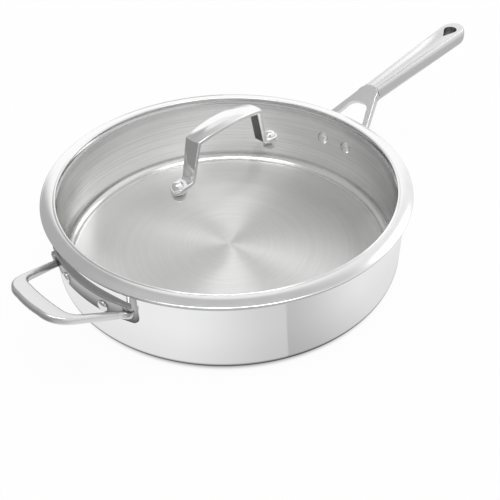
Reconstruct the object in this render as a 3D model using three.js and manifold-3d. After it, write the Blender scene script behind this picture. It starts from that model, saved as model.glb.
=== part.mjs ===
// Saute pan with a domed glass lid, in millimetres, +Z up.
// The origin is the centre of the underside. The long handle points along +X, the helper handle along -X.
import * as THREE from 'three';
import { mergeVertices } from 'three/addons/utils/BufferGeometryUtils.js';
import Module from 'manifold-3d';

const wasm = await Module();
wasm.setup();
const { degToRad } = THREE.MathUtils;

// Fits between pieces
const SEAT_GAP = 0.3;
const HOLE_CLEARANCE = 0.3;
const BOND_GAP = 0.1;
const EAR_CLEARANCE = 0.7;

// Pan: two steel sheets on an aluminium core, with a round base corner and a flared pouring lip
const PAN_INNER_RADIUS = 150;
const PAN_HEIGHT = 71;
const SKIN_THICKNESS = 0.6;
const CORE_THICKNESS = 1.4;
const LINER_THICKNESS = 0.5;
const BASE_CORNER_RADIUS = 12;
const LIP_BEND_RADIUS = 3;
const LIP_FLARE = degToRad(75);
const LIP_EDGE = 1;

// Lid: glass dome, and the rolled band that grips its edge and rests on the lip
const BAND_OVERHANG = 5;
const BAND_WIDTH = 13;
const BAND_CROWN = 3.2;
const BAND_EDGE = 0.8;
const BAND_SHEET = 0.8;
const SKIRT_CLEARANCE = 1.4;
const SKIRT_SHEET = 1.2;
const GLASS_THICKNESS = 4;
const GLASS_RISE = 19.6;
const GLASS_EDGE_HEIGHT = 0.9;

// Lid handle: a bent strap on two riveted feet
const LID_RIVET_SPACING = 108;
const STRAP_THICKNESS = 3;
const STRAP_FOOT_RADIUS = 6.4;
const STRAP_FOOT_SPREAD = 85;
const STRAP_SHOULDER_SPREAD = 69;
const STRAP_SHOULDER_WIDTH = 15.2;
const STRAP_ARCH_WIDTH = 19;
const STRAP_LEG_HEIGHT = 33.5;
const STRAP_ARCH = 4.2;
const STRAP_CROWN = 2;
const STRAP_BEND = 4;
const LID_RIVET_SHANK_RADIUS = 2.2;
const LID_RIVET_HEAD_RADIUS = 5;
const LID_RIVET_HEAD_HEIGHT = 3.4;
const LID_RIVET_TAIL_RADIUS = 4;
const LID_RIVET_TAIL_HEIGHT = 1.6;
const GASKET_RADIUS = 6.8;
const GASKET_THICKNESS = 1.2;
const WASHER_RADIUS = 6.2;
const WASHER_THICKNESS = 1;

// Wall plates and rivets of both handles, with drops measured down from the lip
const PLATE_THICKNESS = 3.2;
const PLATE_CORNER = 4;
const RIVET_SHANK_RADIUS = 2.6;
const RIVET_HEAD_RADIUS = 4.8;
const RIVET_HEAD_EDGE = 0.5;
const RIVET_HEAD_HEIGHT = 2.4;

// Long handle: a forked yoke that leans up from the wall, and a hollow grip behind it
const LONG_RIVET_SPACING = 28.5;
const LONG_RIVET_DROP = 27.5;
const YOKE_REACH = 55;
const YOKE_RISE = 13.7;
const YOKE_SLOPE = degToRad(31);
const YOKE_THICKNESS = 8.4;
const YOKE_END_RADIUS = 11.4;
const YOKE_ROOT_WIDTH = 59;
const PRONG_WIDTH = 6;
const YOKE_WINDOW_INSET = 21.8;
const YOKE_WINDOW_ARCH = 7.2;
const YOKE_PLATE_WIDTH = 64;
const YOKE_PLATE_TOP = 17;
const YOKE_PLATE_BOTTOM = 39;
const GRIP_LENGTH = 157;
const GRIP_SLOPE = degToRad(6.1);
const GRIP_DROP = 0.9;
const GRIP_FRONT_WIDTH = 15.2;
const GRIP_TIP_WIDTH = 27.2;
const GRIP_DEPTH = 17;
const GRIP_DISH = 1.6;
const GRIP_RIDGE = 1.2;
const GRIP_BULGE = 1.2;
const GRIP_SHEET = 1.8;
const HANG_HOLE_RADIUS = 6.8;
const HANG_HOLE_POINT = 14;
const HANG_HOLE_INSET = 16.5;

// Helper handle: a flat loop that leans up from the wall, on a plate with an ear and a rib at each end
const HELPER_RIVET_SPACING = 45;
const HELPER_RIVET_DROP = 23.3;
const HELPER_REACH = 48.2;
const HELPER_DROP = 18.1;
const HELPER_SLOPE = degToRad(19.8);
const HELPER_THICKNESS = 6.3;
const HELPER_ROOT_WIDTH = 88.4;
const HELPER_TIP_WIDTH = 60.2;
const HELPER_CORNER = 17;
const HELPER_BULGE = 1;
const HELPER_BAR_WIDTH = 15.4;
const HELPER_ARM_WIDTH = 5.8;
const HELPER_WINDOW_CORNER = 10;
const HELPER_PLATE_WIDTH = 110;
const HELPER_PLATE_TOP = 12.5;
const HELPER_PLATE_BOTTOM = 30.6;
const HELPER_EAR_WIDTH = 5.4;
const HELPER_NECK_FILLET = 2;
const HELPER_RIB_RISE = 5.5;
const HELPER_RIB_PROUD = 1.4;

// Smoothness of the round shapes
const TURN_SEGMENTS = 60;
const RIVET_SEGMENTS = 14;
const CORNER_STEPS = 3;
const LIP_STEPS = 2;
const BAND_STEPS = 3;
const GLASS_STEPS = 6;
const DOME_STEPS = 3;
const CURVE_STEPS = 6;

// Sizes that follow from the ones above
const WALL = SKIN_THICKNESS + CORE_THICKNESS + LINER_THICKNESS + 2 * BOND_GAP;
const PAN_OUTER_RADIUS = PAN_INNER_RADIUS + WALL;
const LIP_END = Math.PI - LIP_FLARE;
const LIP_RISE = (LIP_BEND_RADIUS + WALL) * Math.sin(LIP_END) - LIP_EDGE * Math.cos(LIP_END);
const LIP_START = PAN_HEIGHT - LIP_RISE;
const LID_SEAT = PAN_HEIGHT + SEAT_GAP;
const BAND_OUTER_RADIUS = PAN_OUTER_RADIUS + BAND_OVERHANG;
const BAND_INNER_RADIUS = BAND_OUTER_RADIUS - BAND_WIDTH;
const SKIRT_RADIUS = PAN_INNER_RADIUS - SKIRT_CLEARANCE;
const GLASS_RADIUS = SKIRT_RADIUS - SKIRT_SHEET - SEAT_GAP;
const DOME_RADIUS = (GLASS_RADIUS ** 2 + GLASS_RISE ** 2) / (2 * GLASS_RISE);
const DOME_CENTRE = GLASS_EDGE_HEIGHT + GLASS_RISE - DOME_RADIUS;
const PLATE_INNER_RADIUS = PAN_OUTER_RADIUS + SEAT_GAP;
const PLATE_OUTER_RADIUS = PLATE_INNER_RADIUS + PLATE_THICKNESS;
const YOKE_END_X = PAN_OUTER_RADIUS + YOKE_REACH;
const YOKE_END_Z = PAN_HEIGHT + YOKE_RISE;
const GRIP_TIP_X = YOKE_END_X + GRIP_LENGTH;
const HANG_HOLE_X = GRIP_TIP_X - HANG_HOLE_INSET;
const LARGE = 2 * GRIP_TIP_X;

const X_AXIS = new THREE.Vector3(1, 0, 0);
const Y_AXIS = new THREE.Vector3(0, 1, 0);
const Z_AXIS = new THREE.Vector3(0, 0, 1);

// Turns a closed geometry into a solid that can be cut and joined.
function toSolid(geometry) {
  const bare = geometry.clone();
  bare.deleteAttribute('normal');
  bare.deleteAttribute('uv');
  const merged = mergeVertices(bare);
  const corners = merged.index.array;
  const triangles = [];
  for (let i = 0; i < corners.length; i += 3) {
    const [a, b, c] = corners.slice(i, i + 3);
    if (a !== b && b !== c && c !== a) triangles.push(a, b, c);
  }
  const vertProperties = new Float32Array(merged.attributes.position.array);
  const triVerts = new Uint32Array(triangles);
  return new wasm.Manifold(new wasm.Mesh({ numProp: 3, vertProperties, triVerts }));
}

// Turns a solid back into a geometry.
function toGeometry(solid) {
  const { vertProperties, triVerts } = solid.getMesh();
  const geometry = new THREE.BufferGeometry();
  geometry.setAttribute('position', new THREE.BufferAttribute(vertProperties, 3));
  geometry.setIndex(new THREE.BufferAttribute(triVerts, 1));
  geometry.computeVertexNormals();
  return geometry;
}

// Turns a profile of [radius, height] points round the Z axis. The profile runs anticlockwise.
function turned(profile, segments = TURN_SEGMENTS) {
  const points = profile.map(([radius, height]) => new THREE.Vector2(radius, height));
  return new THREE.LatheGeometry(points, segments).rotateX(Math.PI / 2);
}

// Pushes a flat outline out along one direction, with the outline's own X and Y along two others.
function extruded(outline, depth, across, up, start = 0) {
  const settings = { depth, bevelEnabled: false, curveSegments: CURVE_STEPS };
  const geometry = new THREE.ExtrudeGeometry(outline, settings);
  const out = new THREE.Vector3().crossVectors(across, up);
  geometry.translate(0, 0, start);
  return geometry.applyMatrix4(new THREE.Matrix4().makeBasis(across, up, out));
}

// Points of an arc as [x, y] pairs.
function arc(centreX, centreY, radius, from, to, steps) {
  const points = [];
  for (let i = 0; i <= steps; i += 1) {
    const angle = from + ((to - from) * i) / steps;
    points.push([centreX + radius * Math.cos(angle), centreY + radius * Math.sin(angle)]);
  }
  return points;
}

// Rectangle between two corners with rounded corners.
function roundedRectangle(left, bottom, right, top, radius) {
  const shape = new THREE.Shape();
  shape.absarc(right - radius, bottom + radius, radius, -Math.PI / 2, 0);
  shape.absarc(right - radius, top - radius, radius, 0, Math.PI / 2);
  shape.absarc(left + radius, top - radius, radius, Math.PI / 2, Math.PI);
  shape.absarc(left + radius, bottom + radius, radius, Math.PI, 1.5 * Math.PI);
  return shape;
}

// Skins a row of rings of equal length, which run anticlockwise seen from +X, and closes both ends.
function lofted(rings) {
  const count = rings[0].length;
  const last = rings.length - 1;
  const centre = (ring) => ring.reduce((sum, p) => sum.add(p), new THREE.Vector3()).divideScalar(count);
  const points = [...rings.flat(), centre(rings[0]), centre(rings[last])];
  const firstCentre = points.length - 2;
  const lastCentre = points.length - 1;
  const index = [];
  for (let j = 0; j < count; j += 1) {
    const next = (j + 1) % count;
    for (let i = 0; i < last; i += 1) {
      const here = i * count;
      const there = here + count;
      index.push(here + j, here + next, there + j);
      index.push(here + next, there + next, there + j);
    }
    index.push(firstCentre, next, j);
    index.push(lastCentre, last * count + j, last * count + next);
  }
  const geometry = new THREE.BufferGeometry().setFromPoints(points);
  geometry.setIndex(index);
  return geometry;
}

function mesh(name, geometry, look) {
  const part = new THREE.Mesh(geometry, new THREE.MeshStandardMaterial(look));
  part.name = name;
  return part;
}

const POLISHED_STEEL = { color: 0xd9dbdd, roughness: 0.1, metalness: 1 };
const SATIN_STEEL = { color: 0xb8babc, roughness: 0.35, metalness: 1 };
const CAST_STEEL = { color: 0xc8cacc, roughness: 0.4, metalness: 1 };
const ALUMINIUM = { color: 0xc4c6c9, roughness: 0.5, metalness: 1 };
const GLASS = { color: 0xe6eeec, roughness: 0.05, metalness: 0, transparent: true, opacity: 0.35 };
const SILICONE = { color: 0xe4e4e0, roughness: 0.6, metalness: 0 };

// Rivets of the two side handles
const LONG_SIDE = 0;
const HELPER_SIDE = Math.PI;
const LONG_RIVETS = { side: LONG_SIDE, spacing: LONG_RIVET_SPACING, drop: LONG_RIVET_DROP };
const HELPER_RIVETS = { side: HELPER_SIDE, spacing: HELPER_RIVET_SPACING, drop: HELPER_RIVET_DROP };
const HANDLE_RIVETS = [
  { name: 'long_handle_rivet_left', ...LONG_RIVETS, hand: 1 },
  { name: 'long_handle_rivet_right', ...LONG_RIVETS, hand: -1 },
  { name: 'helper_handle_rivet_left', ...HELPER_RIVETS, hand: 1 },
  { name: 'helper_handle_rivet_right', ...HELPER_RIVETS, hand: -1 },
];

function rivetAngle({ side, spacing, hand }) {
  return side + hand * Math.asin(spacing / 2 / PAN_OUTER_RADIUS);
}

// Half profile of a domed head on a seat, from the shank out to the top of the dome.
function domedHead(seat, shank, radius, edge, height) {
  const dome = arc(0, 0, 1, 0, Math.PI / 2, DOME_STEPS);
  const crown = dome.map(([x, y]) => [radius * x, seat + edge + (height - edge) * y]);
  crown[crown.length - 1][0] = 0;
  return [[shank, seat], [radius, seat], ...crown];
}

function handleRivet(rivet) {
  const flat = PAN_INNER_RADIUS * Math.cos(Math.PI / TURN_SEGMENTS);
  const innerSeat = Math.sqrt(flat ** 2 - RIVET_HEAD_RADIUS ** 2) - SEAT_GAP;
  const outerSeat = PLATE_OUTER_RADIUS + SEAT_GAP;
  const head = [RIVET_SHANK_RADIUS, RIVET_HEAD_RADIUS, RIVET_HEAD_EDGE, RIVET_HEAD_HEIGHT];
  const innerHead = domedHead(-innerSeat, ...head).map(([radius, along]) => [radius, -along]);
  const profile = [...innerHead.reverse(), ...domedHead(outerSeat, ...head)];
  const part = mesh(rivet.name, turned(profile, RIVET_SEGMENTS).rotateY(Math.PI / 2), POLISHED_STEEL);
  part.rotation.z = rivetAngle(rivet);
  part.position.z = PAN_HEIGHT - rivet.drop;
  return part;
}

// Radial hole for one handle rivet, through the wall and the plate.
function rivetHole(rivet) {
  const radius = RIVET_SHANK_RADIUS + HOLE_CLEARANCE;
  const length = PLATE_OUTER_RADIUS;
  const hole = new THREE.CylinderGeometry(radius, radius, length, RIVET_SEGMENTS).rotateZ(Math.PI / 2);
  hole.translate(PLATE_OUTER_RADIUS, 0, 0).rotateZ(rivetAngle(rivet));
  hole.translate(0, 0, PAN_HEIGHT - rivet.drop);
  return toSolid(hole);
}

function drilled(solid, rivets) {
  return rivets.reduce((body, rivet) => body.subtract(rivetHole(rivet)), solid);
}

// Surface that lies a given depth inside the pan's outer face, from the axis to the end of the lip.
function panSurface(depth) {
  const cornerX = PAN_OUTER_RADIUS - BASE_CORNER_RADIUS;
  const lipX = PAN_OUTER_RADIUS + LIP_BEND_RADIUS;
  const lip = arc(lipX, LIP_START, LIP_BEND_RADIUS + depth, Math.PI, LIP_END, LIP_STEPS);
  const [endX, endZ] = lip[lip.length - 1];
  return [
    [0, depth],
    ...arc(cornerX, BASE_CORNER_RADIUS, BASE_CORNER_RADIUS - depth, -Math.PI / 2, 0, CORNER_STEPS),
    ...lip,
    [endX + LIP_EDGE * Math.sin(LIP_END), endZ - LIP_EDGE * Math.cos(LIP_END)],
  ];
}

// One sheet of the pan between two depths, with the holes of all handle rivets.
function panLayer(name, depth, thickness, look) {
  const profile = [...panSurface(depth), ...panSurface(depth + thickness).reverse()];
  const solid = drilled(toSolid(turned(profile)), HANDLE_RIVETS);
  return mesh(name, toGeometry(solid), look);
}

function makePan() {
  const coreDepth = SKIN_THICKNESS + BOND_GAP;
  const linerDepth = coreDepth + CORE_THICKNESS + BOND_GAP;
  return [
    panLayer('pan_outer_skin', 0, SKIN_THICKNESS, POLISHED_STEEL),
    panLayer('pan_core', coreDepth, CORE_THICKNESS, ALUMINIUM),
    panLayer('pan_inner_liner', linerDepth, LINER_THICKNESS, SATIN_STEEL),
  ];
}

// Curved plate that follows the pan's wall on one side, cut to an outline of [across, height].
function wallPlate(outline, side, thickness = PLATE_THICKNESS) {
  const bottom = -PAN_HEIGHT;
  const top = 2 * PAN_HEIGHT;
  const outerRadius = PLATE_INNER_RADIUS + thickness;
  const ring = turned([
    [PLATE_INNER_RADIUS, bottom],
    [outerRadius, bottom],
    [outerRadius, top],
    [PLATE_INNER_RADIUS, top],
    [PLATE_INNER_RADIUS, bottom],
  ]);
  const column = extruded(outline, LARGE, Y_AXIS, Z_AXIS).rotateZ(side);
  return toSolid(ring).intersect(toSolid(column));
}

// Keeps only what stands outside the middle of the wall plates.
function outsideWall(solid) {
  const radius = PLATE_INNER_RADIUS + PLATE_THICKNESS / 2;
  const core = turned([[0, -LARGE], [radius, -LARGE], [radius, LARGE], [0, LARGE]]);
  return solid.subtract(toSolid(core));
}

// The yoke's own plane: distance down from its end towards the pan, and sideways.
const YOKE_DOWN = new THREE.Vector3(-Math.cos(YOKE_SLOPE), 0, -Math.sin(YOKE_SLOPE));
const YOKE_SIDE = Y_AXIS.clone().negate();
const YOKE_LENGTH = YOKE_REACH / Math.cos(YOKE_SLOPE);
const YOKE_SPLAY = (YOKE_ROOT_WIDTH / 2 - YOKE_END_RADIUS) / (YOKE_LENGTH - YOKE_END_RADIUS);

function yokeHalfWidth(down) {
  return YOKE_END_RADIUS + YOKE_SPLAY * (down - YOKE_END_RADIUS);
}

// Outline of the yoke with its round end, grown all round by a margin.
function yokeOutline(margin) {
  const root = 2 * YOKE_LENGTH;
  const shape = new THREE.Shape();
  shape.moveTo(root, -yokeHalfWidth(root) - margin);
  shape.lineTo(root, yokeHalfWidth(root) + margin);
  shape.absarc(YOKE_END_RADIUS, 0, YOKE_END_RADIUS + margin, Math.PI / 2, 1.5 * Math.PI);
  return shape;
}

// Arched window between the two prongs.
function yokeWindow() {
  const root = 3 * YOKE_LENGTH;
  const spring = YOKE_WINDOW_INSET + YOKE_WINDOW_ARCH;
  const halfAt = (down) => yokeHalfWidth(down) - PRONG_WIDTH;
  const shape = new THREE.Shape();
  shape.moveTo(root, -halfAt(root));
  shape.lineTo(root, halfAt(root));
  shape.absellipse(spring, 0, YOKE_WINDOW_ARCH, halfAt(spring), Math.PI / 2, 1.5 * Math.PI);
  return shape;
}

function yokeExtrusion(outline, start, depth) {
  const geometry = extruded(outline, depth, YOKE_DOWN, YOKE_SIDE, start);
  return toSolid(geometry.translate(YOKE_END_X, 0, YOKE_END_Z));
}

function makeYoke() {
  const half = YOKE_PLATE_WIDTH / 2;
  const bottom = PAN_HEIGHT - YOKE_PLATE_BOTTOM;
  const top = PAN_HEIGHT - YOKE_PLATE_TOP;
  const plate = roundedRectangle(-half, bottom, half, top, PLATE_CORNER);
  const body = yokeExtrusion(yokeOutline(0), -YOKE_THICKNESS, YOKE_THICKNESS);
  const window = yokeExtrusion(yokeWindow(), -2 * YOKE_THICKNESS, 3 * YOKE_THICKNESS);
  const fork = outsideWall(body.subtract(window)).add(wallPlate(plate, LONG_SIDE));
  const rivets = HANDLE_RIVETS.filter((rivet) => rivet.side === LONG_SIDE);
  return mesh('long_handle_yoke', toGeometry(drilled(fork, rivets)), CAST_STEEL);
}

// Section of the grip at one place along X, with a dished top between two ridges. It is drawn in by an
// inset and narrowed towards the round tip.
function gripRing(x, narrowing, inset) {
  const along = (x - YOKE_END_X) / GRIP_LENGTH;
  const half = (THREE.MathUtils.lerp(GRIP_FRONT_WIDTH, GRIP_TIP_WIDTH, along) / 2) * narrowing - inset;
  const bulge = GRIP_BULGE * narrowing;
  const ridge = half - GRIP_RIDGE * narrowing;
  const dish = inset + GRIP_DISH * narrowing;
  const depth = GRIP_DEPTH - inset;
  const top = YOKE_END_Z - GRIP_DROP + (x - YOKE_END_X) * Math.tan(GRIP_SLOPE);
  const rightSide = [
    [0.5 * half, -depth],
    [0.88 * half + bulge / 2, -0.86 * depth],
    [half + bulge, -0.62 * depth],
    [half + bulge, -0.27 * depth],
    [ridge, -inset],
    [0.5 * ridge, (-inset - 3 * dish) / 4],
  ];
  const leftSide = rightSide.map(([y, z]) => [-y, z]).reverse();
  const section = [[0, -depth], ...rightSide, [0, -dish], ...leftSide];
  return section.map(([y, z]) => new THREE.Vector3(x, y, top + z));
}

// Teardrop hole at the tip, with its point towards the pan.
function hangHole() {
  const lean = Math.acos(HANG_HOLE_RADIUS / HANG_HOLE_POINT);
  const shape = new THREE.Shape();
  shape.moveTo(HANG_HOLE_X - HANG_HOLE_POINT, 0);
  shape.absarc(HANG_HOLE_X, 0, HANG_HOLE_RADIUS, lean - Math.PI, Math.PI - lean);
  return toSolid(extruded(shape, LARGE, X_AXIS, Y_AXIS));
}

function makeGrip() {
  const front = YOKE_END_X - GRIP_DEPTH / Math.tan(YOKE_SLOPE);
  const tipRadius = GRIP_TIP_WIDTH / 2;
  const tipAngles = [0, 25, 50, 70, 83].map(degToRad);
  const tipX = (angle) => GRIP_TIP_X - tipRadius * (1 - Math.sin(angle));
  const tipPlaces = tipAngles.map((angle) => [tipX(angle), Math.cos(angle)]);
  const outside = [[front, 1], [YOKE_END_X, 1], ...tipPlaces];
  const cavityEnd = HANG_HOLE_X - HANG_HOLE_POINT - 2 * GRIP_SHEET;
  const inside = [[front - 1, 1], [YOKE_END_X, 1], [cavityEnd, 1]];
  const shell = toSolid(lofted(outside.map(([x, narrowing]) => gripRing(x, narrowing, 0))));
  const hollow = toSolid(lofted(inside.map(([x, narrowing]) => gripRing(x, narrowing, GRIP_SHEET))));
  const yokeRoom = yokeExtrusion(yokeOutline(SEAT_GAP), -YOKE_THICKNESS - SEAT_GAP, LARGE);
  const everywhere = roundedRectangle(-LARGE, -LARGE, LARGE, LARGE, 1);
  const aboveYoke = yokeExtrusion(everywhere, 0, LARGE);
  const grip = shell.subtract(hollow).subtract(hangHole()).subtract(yokeRoom).subtract(aboveYoke);
  return mesh('long_handle_grip', toGeometry(grip), CAST_STEEL);
}

// The helper's own plane: distance out and up from the wall, and sideways.
const HELPER_OUT = new THREE.Vector3(-Math.cos(HELPER_SLOPE), 0, Math.sin(HELPER_SLOPE));
const HELPER_SIDE_AXIS = Y_AXIS.clone().negate();
const HELPER_LENGTH = HELPER_REACH / Math.cos(HELPER_SLOPE);
const HELPER_TAPER = (HELPER_ROOT_WIDTH - HELPER_TIP_WIDTH) / 2 / HELPER_LENGTH;

// D-shaped outline that narrows outwards, with rounded outer corners and a bowed outer edge.
function loopOutline(root, tip, rootHalf, corner, bow) {
  const halfAt = (out) => rootHalf - HELPER_TAPER * out;
  const edge = tip - bow;
  const shape = new THREE.Shape();
  shape.moveTo(root, -halfAt(root));
  shape.lineTo(edge - corner, -halfAt(edge - corner));
  shape.quadraticCurveTo(edge, -halfAt(edge), edge, corner - halfAt(edge));
  shape.quadraticCurveTo(tip + bow, 0, edge, halfAt(edge) - corner);
  shape.quadraticCurveTo(edge, halfAt(edge), edge - corner, halfAt(edge - corner));
  shape.lineTo(root, halfAt(root));
  return shape;
}

function helperExtrusion(outline, start, depth) {
  const geometry = extruded(outline, depth, HELPER_OUT, HELPER_SIDE_AXIS, start);
  return toSolid(geometry.translate(-PAN_OUTER_RADIUS, 0, PAN_HEIGHT - HELPER_DROP));
}

// Plate outline with an ear standing up at each end.
function helperPlateOutline() {
  const half = HELPER_PLATE_WIDTH / 2;
  const neck = half - HELPER_EAR_WIDTH;
  const fillet = HELPER_NECK_FILLET;
  const bottom = PAN_HEIGHT - HELPER_PLATE_BOTTOM;
  const saddle = PAN_HEIGHT - HELPER_PLATE_TOP;
  const earTop = LIP_START - EAR_CLEARANCE;
  const shape = new THREE.Shape();
  shape.absarc(half - PLATE_CORNER, bottom + PLATE_CORNER, PLATE_CORNER, -Math.PI / 2, 0);
  shape.lineTo(half, earTop);
  shape.lineTo(neck, earTop);
  shape.absarc(neck - fillet, saddle + fillet, fillet, 0, -Math.PI / 2, true);
  shape.absarc(fillet - neck, saddle + fillet, fillet, -Math.PI / 2, -Math.PI, true);
  shape.lineTo(-neck, earTop);
  shape.lineTo(-half, earTop);
  shape.absarc(PLATE_CORNER - half, bottom + PLATE_CORNER, PLATE_CORNER, Math.PI, 1.5 * Math.PI);
  return shape;
}

// Outline of the rib that carries an arm's side up and out to the end of the plate. hand is 1 or -1.
function helperRibOutline(hand) {
  const arm = HELPER_ROOT_WIDTH / 2;
  const start = arm - HELPER_ARM_WIDTH;
  const end = HELPER_PLATE_WIDTH / 2;
  const fallBack = PAN_OUTER_RADIUS - Math.sqrt(PLATE_OUTER_RADIUS ** 2 - arm ** 2);
  const top = PAN_HEIGHT - HELPER_DROP - fallBack * Math.tan(HELPER_SLOPE);
  const bottom = top - HELPER_THICKNESS;
  const rise = HELPER_RIB_RISE;
  const corners = [[start, bottom], [end, bottom + rise], [end, top + rise], [start, top]];
  return new THREE.Shape(corners.map(([across, height]) => new THREE.Vector2(hand * across, height)));
}

function makeHelper() {
  const rootHalf = HELPER_ROOT_WIDTH / 2;
  const windowTip = HELPER_LENGTH - HELPER_BAR_WIDTH;
  const outer = loopOutline(-HELPER_LENGTH, HELPER_LENGTH, rootHalf, HELPER_CORNER, HELPER_BULGE);
  const window = loopOutline(
    -2 * HELPER_LENGTH, windowTip, rootHalf - HELPER_ARM_WIDTH, HELPER_WINDOW_CORNER, HELPER_BULGE);
  const body = helperExtrusion(outer, -HELPER_THICKNESS, HELPER_THICKNESS);
  const opening = helperExtrusion(window, -2 * HELPER_THICKNESS, 3 * HELPER_THICKNESS);
  const loop = outsideWall(body.subtract(opening));
  const plate = wallPlate(helperPlateOutline(), HELPER_SIDE);
  const ribThickness = PLATE_THICKNESS + HELPER_RIB_PROUD;
  const ribs = [1, -1].map((hand) => wallPlate(helperRibOutline(hand), HELPER_SIDE, ribThickness));
  const handle = [plate, ...ribs].reduce((whole, piece) => whole.add(piece), loop);
  const rivets = HANDLE_RIVETS.filter((rivet) => rivet.side === HELPER_SIDE);
  return mesh('helper_handle', toGeometry(drilled(handle, rivets)), CAST_STEEL);
}

// Height of the glass's upper face, or of a face a given depth below it, at a radius.
function glassHeight(radius, depth = 0) {
  return DOME_CENTRE + Math.sqrt((DOME_RADIUS - depth) ** 2 - radius ** 2);
}

function glassFace(depth) {
  const points = [];
  for (let i = 0; i <= GLASS_STEPS; i += 1) {
    const radius = (GLASS_RADIUS * i) / GLASS_STEPS;
    points.push([radius, glassHeight(radius, depth)]);
  }
  return points;
}

// Place of one foot of the lid handle: on the glass, square to it.
const FOOT_RADIUS = LID_RIVET_SPACING / 2;
const FOOT_LEAN = Math.asin(FOOT_RADIUS / DOME_RADIUS);
const FOOT_HEIGHT = glassHeight(FOOT_RADIUS);

function footFrame(hand) {
  const frame = new THREE.Group();
  frame.position.set(hand * FOOT_RADIUS, 0, FOOT_HEIGHT);
  frame.rotation.y = hand * FOOT_LEAN;
  frame.updateMatrix();
  return frame;
}

function footHole(hand) {
  const radius = LID_RIVET_SHANK_RADIUS + HOLE_CLEARANCE;
  const length = 2 * STRAP_LEG_HEIGHT;
  const hole = new THREE.CylinderGeometry(radius, radius, length, RIVET_SEGMENTS).rotateX(Math.PI / 2);
  return toSolid(hole.applyMatrix4(footFrame(hand).matrix));
}

function footDrilled(solid) {
  return solid.subtract(footHole(1)).subtract(footHole(-1));
}

function makeGlass() {
  const profile = [...glassFace(GLASS_THICKNESS), ...glassFace(0).reverse()];
  return mesh('lid_glass', toGeometry(footDrilled(toSolid(turned(profile)))), GLASS);
}

// Band: a crowned flange on the lip, a skirt inside the mouth, and a channel round the glass's edge.
function makeBand() {
  const middle = BAND_OUTER_RADIUS - BAND_WIDTH / 2;
  const channel = GLASS_RADIUS + SEAT_GAP;
  const upperInner = glassHeight(BAND_INNER_RADIUS) + SEAT_GAP;
  const upperOuter = glassHeight(GLASS_RADIUS) + SEAT_GAP;
  const lowerInner = glassHeight(BAND_INNER_RADIUS, GLASS_THICKNESS) - SEAT_GAP;
  const lowerOuter = glassHeight(GLASS_RADIUS, GLASS_THICKNESS) - SEAT_GAP;
  const innerEdge = upperInner + BAND_SHEET;
  const crown = [];
  for (let i = -BAND_STEPS; i <= BAND_STEPS; i += 1) {
    const across = Math.sin((i / BAND_STEPS) * (Math.PI / 2));
    const edge = i < 0 ? BAND_EDGE : innerEdge;
    const height = edge + (BAND_CROWN - edge) * Math.sqrt(1 - across ** 2);
    crown.push([middle - (across * BAND_WIDTH) / 2, height]);
  }
  const profile = [
    [SKIRT_RADIUS, lowerOuter - BAND_SHEET],
    [SKIRT_RADIUS, 0],
    [BAND_OUTER_RADIUS, 0],
    ...crown,
    [BAND_INNER_RADIUS, upperInner],
    [channel, upperOuter],
    [channel, lowerOuter],
    [BAND_INNER_RADIUS, lowerInner],
    [BAND_INNER_RADIUS, lowerInner - BAND_SHEET],
    [SKIRT_RADIUS, lowerOuter - BAND_SHEET],
  ];
  return mesh('lid_band', turned(profile), POLISHED_STEEL);
}

// Heights along a foot's axis, measured from the glass's upper face
const UPPER_GASKET = SEAT_GAP;
const STRAP_SEAT = UPPER_GASKET + GASKET_THICKNESS + SEAT_GAP;
const HEAD_SEAT = STRAP_SEAT + STRAP_THICKNESS + SEAT_GAP;
const LOWER_GASKET = -GLASS_THICKNESS - SEAT_GAP - GASKET_THICKNESS;
const BACKING_WASHER = LOWER_GASKET - SEAT_GAP - WASHER_THICKNESS;
const TAIL_SEAT = BACKING_WASHER - SEAT_GAP;

function ringAt(bottom, thickness, radius) {
  const bore = LID_RIVET_SHANK_RADIUS + HOLE_CLEARANCE;
  const top = bottom + thickness;
  const profile = [[bore, bottom], [radius, bottom], [radius, top], [bore, top], [bore, bottom]];
  return turned(profile, RIVET_SEGMENTS);
}

function lidRivet() {
  const shank = LID_RIVET_SHANK_RADIUS;
  const tail = LID_RIVET_TAIL_RADIUS;
  const tailEnd = TAIL_SEAT - LID_RIVET_TAIL_HEIGHT;
  const head = domedHead(HEAD_SEAT, shank, LID_RIVET_HEAD_RADIUS, RIVET_HEAD_EDGE, LID_RIVET_HEAD_HEIGHT);
  const profile = [[0, tailEnd], [tail, tailEnd], [tail, TAIL_SEAT], [shank, TAIL_SEAT], ...head];
  return turned(profile, RIVET_SEGMENTS);
}

function makeFoot(label, hand) {
  const foot = footFrame(hand);
  const upper = ringAt(UPPER_GASKET, GASKET_THICKNESS, GASKET_RADIUS);
  const lower = ringAt(LOWER_GASKET, GASKET_THICKNESS, GASKET_RADIUS);
  const washer = ringAt(BACKING_WASHER, WASHER_THICKNESS, WASHER_RADIUS);
  foot.add(
    mesh(`lid_handle_rivet_${label}`, lidRivet(), POLISHED_STEEL),
    mesh(`lid_upper_gasket_${label}`, upper, SILICONE),
    mesh(`lid_lower_gasket_${label}`, lower, SILICONE),
    mesh(`lid_backing_washer_${label}`, washer, POLISHED_STEEL),
  );
  return foot;
}

// Corner points of a path, with each inner corner eased by a short curve.
function eased(points, bend) {
  const path = [points[0]];
  for (let i = 1; i < points.length - 1; i += 1) {
    const before = points[i].clone().lerp(points[i - 1], bend / points[i].distanceTo(points[i - 1]));
    const after = points[i].clone().lerp(points[i + 1], bend / points[i].distanceTo(points[i + 1]));
    path.push(...new THREE.QuadraticBezierCurve(before, points[i], after).getPoints(3));
  }
  path.push(points[points.length - 1]);
  return path;
}

// Middle of the strap's tab on one foot, and the line that the tab lies along.
const FOOT_LIFT = STRAP_SEAT + STRAP_THICKNESS / 2;
const STRAP_FOOT_X = FOOT_RADIUS + FOOT_LIFT * Math.sin(FOOT_LEAN);
const STRAP_FOOT_Z = FOOT_HEIGHT + FOOT_LIFT * Math.cos(FOOT_LEAN);

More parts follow.
